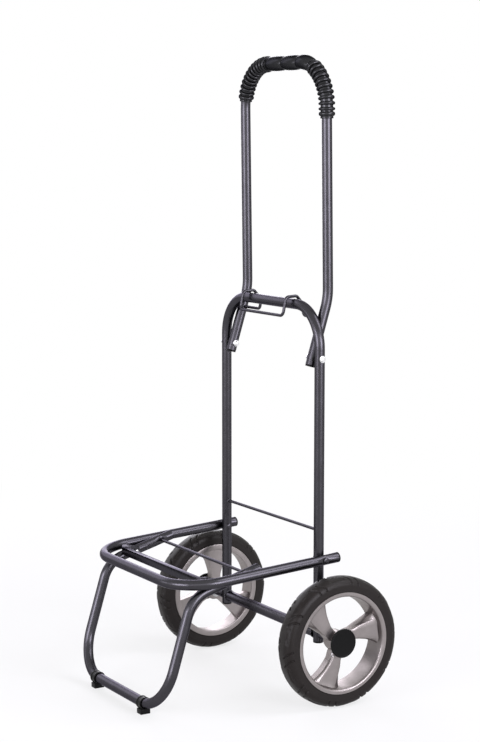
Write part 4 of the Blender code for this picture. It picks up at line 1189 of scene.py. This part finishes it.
def camera():
    data = bpy.data.cameras.new("camera")
    data.sensor_width = SENSOR
    data.sensor_height = SENSOR
    data.sensor_fit = "AUTO"
    data.lens = CAMERA_LENS
    data.clip_end = FAR
    seat = bpy.data.objects.new("camera", data)
    seat.location = CAMERA_AT
    turn = Matrix.Rotation(CAMERA_HEADING, 3, "Z") @ Matrix.Rotation(CAMERA_PITCH, 3, "X")
    heading = turn @ Vector((0, 1, 0))
    seat.rotation_mode = "QUATERNION"
    seat.rotation_quaternion = heading.to_track_quat("-Z", "Y")
    bpy.context.scene.collection.objects.link(seat)
    bpy.context.scene.camera = seat


def lamp(name, degrees, away, bottom, height, width, glow):
    """A soft box that stands round the trolley and faces it."""
    data = bpy.data.lights.new(name, "AREA")
    data.shape = "RECTANGLE"
    data.size, data.size_y = width, height
    data.energy = glow * math.pi * width * height
    data.color = LAMP_TINT
    turn = math.radians(degrees)
    at = Vector((away * math.cos(turn), away * math.sin(turn), bottom + height / 2))
    seat = bpy.data.objects.new(name, data)
    seat.location = at
    seat.rotation_mode = "QUATERNION"
    seat.rotation_quaternion = (LAMP_AIM - at).to_track_quat("-Z", "Y")
    seat.visible_camera = False
    bpy.context.scene.collection.objects.link(seat)


def seen_rays(tree):
    """1 for rays from the camera, a mirror or glass."""
    path = add(tree, "ShaderNodeLightPath")
    total = path.outputs["Is Camera Ray"]
    for name in ("Is Glossy Ray", "Is Transmission Ray"):
        either = add(tree, "ShaderNodeMath", {0: total, 1: path.outputs[name]}, operation="MAXIMUM")
        total = either.outputs["Value"]
    return total


def backdrop():
    """A world that lights softly and shows as plain white."""
    world = bpy.data.worlds.new("studio")
    world.use_nodes = True
    tree = world.node_tree
    tree.nodes.clear()
    lit = add(tree, "ShaderNodeBackground", {"Color": (1, 1, 1, 1), "Strength": WORLD_LIGHT})
    shown = add(tree, "ShaderNodeBackground", {"Color": (1, 1, 1, 1), "Strength": 1.0})
    either = add(tree, "ShaderNodeMixShader", {0: seen_rays(tree), 1: lit.outputs[0], 2: shown.outputs[0]})
    add(tree, "ShaderNodeOutputWorld", {"Surface": either.outputs[0]})
    bpy.context.scene.world = world


def white_floor():
    """A pale floor that holds the trolley's shadow near it and fades to white further off."""
    shape = bmesh.new()
    bmesh.ops.create_grid(shape, x_segments=1, y_segments=1, size=FLOOR_SIZE / 2)
    mesh = bpy.data.meshes.new("floor")
    shape.to_mesh(mesh)
    shape.free()
    floor = bpy.data.objects.new("floor", mesh)
    bpy.context.scene.collection.objects.link(floor)
    recipe = Recipe("white_floor", base_color=FLOOR_WHITE, roughness=FLOOR_ROUGH, specular_ior_level=0.0)
    tree = recipe.tree
    place = add(tree, "ShaderNodeTexCoord")
    away = add(tree, "ShaderNodeVectorMath", {0: place.outputs["Object"]}, operation="LENGTH")
    rising = add(tree, "ShaderNodeMapRange", {
        "Value": away.outputs["Value"], "From Min": GLOW_NEAR, "From Max": GLOW_FAR, "To Min": FLOOR_GLOW},
        interpolation_type="SMOOTHSTEP")
    share = add(tree, "ShaderNodeMath", {0: seen_rays(tree), 1: rising.outputs["Result"]},
                operation="MULTIPLY")
    glow = add(tree, "ShaderNodeEmission")
    either = add(tree, "ShaderNodeMixShader", {
        0: share.outputs["Value"], 1: recipe.shader.outputs[0], 2: glow.outputs[0]})
    tree.links.new(either.outputs[0], tree.nodes["Material Output"].inputs["Surface"])
    mesh.materials.append(recipe.material)


camera()
backdrop()
white_floor()
for row in LAMPS:
    lamp(*row)
rear_frame()
axle()
fasteners()
handle()
grip()
lock_clip()
platform()
stand()
strip()
wheels()

bpy.context.scene.view_settings.view_transform = "Standard"
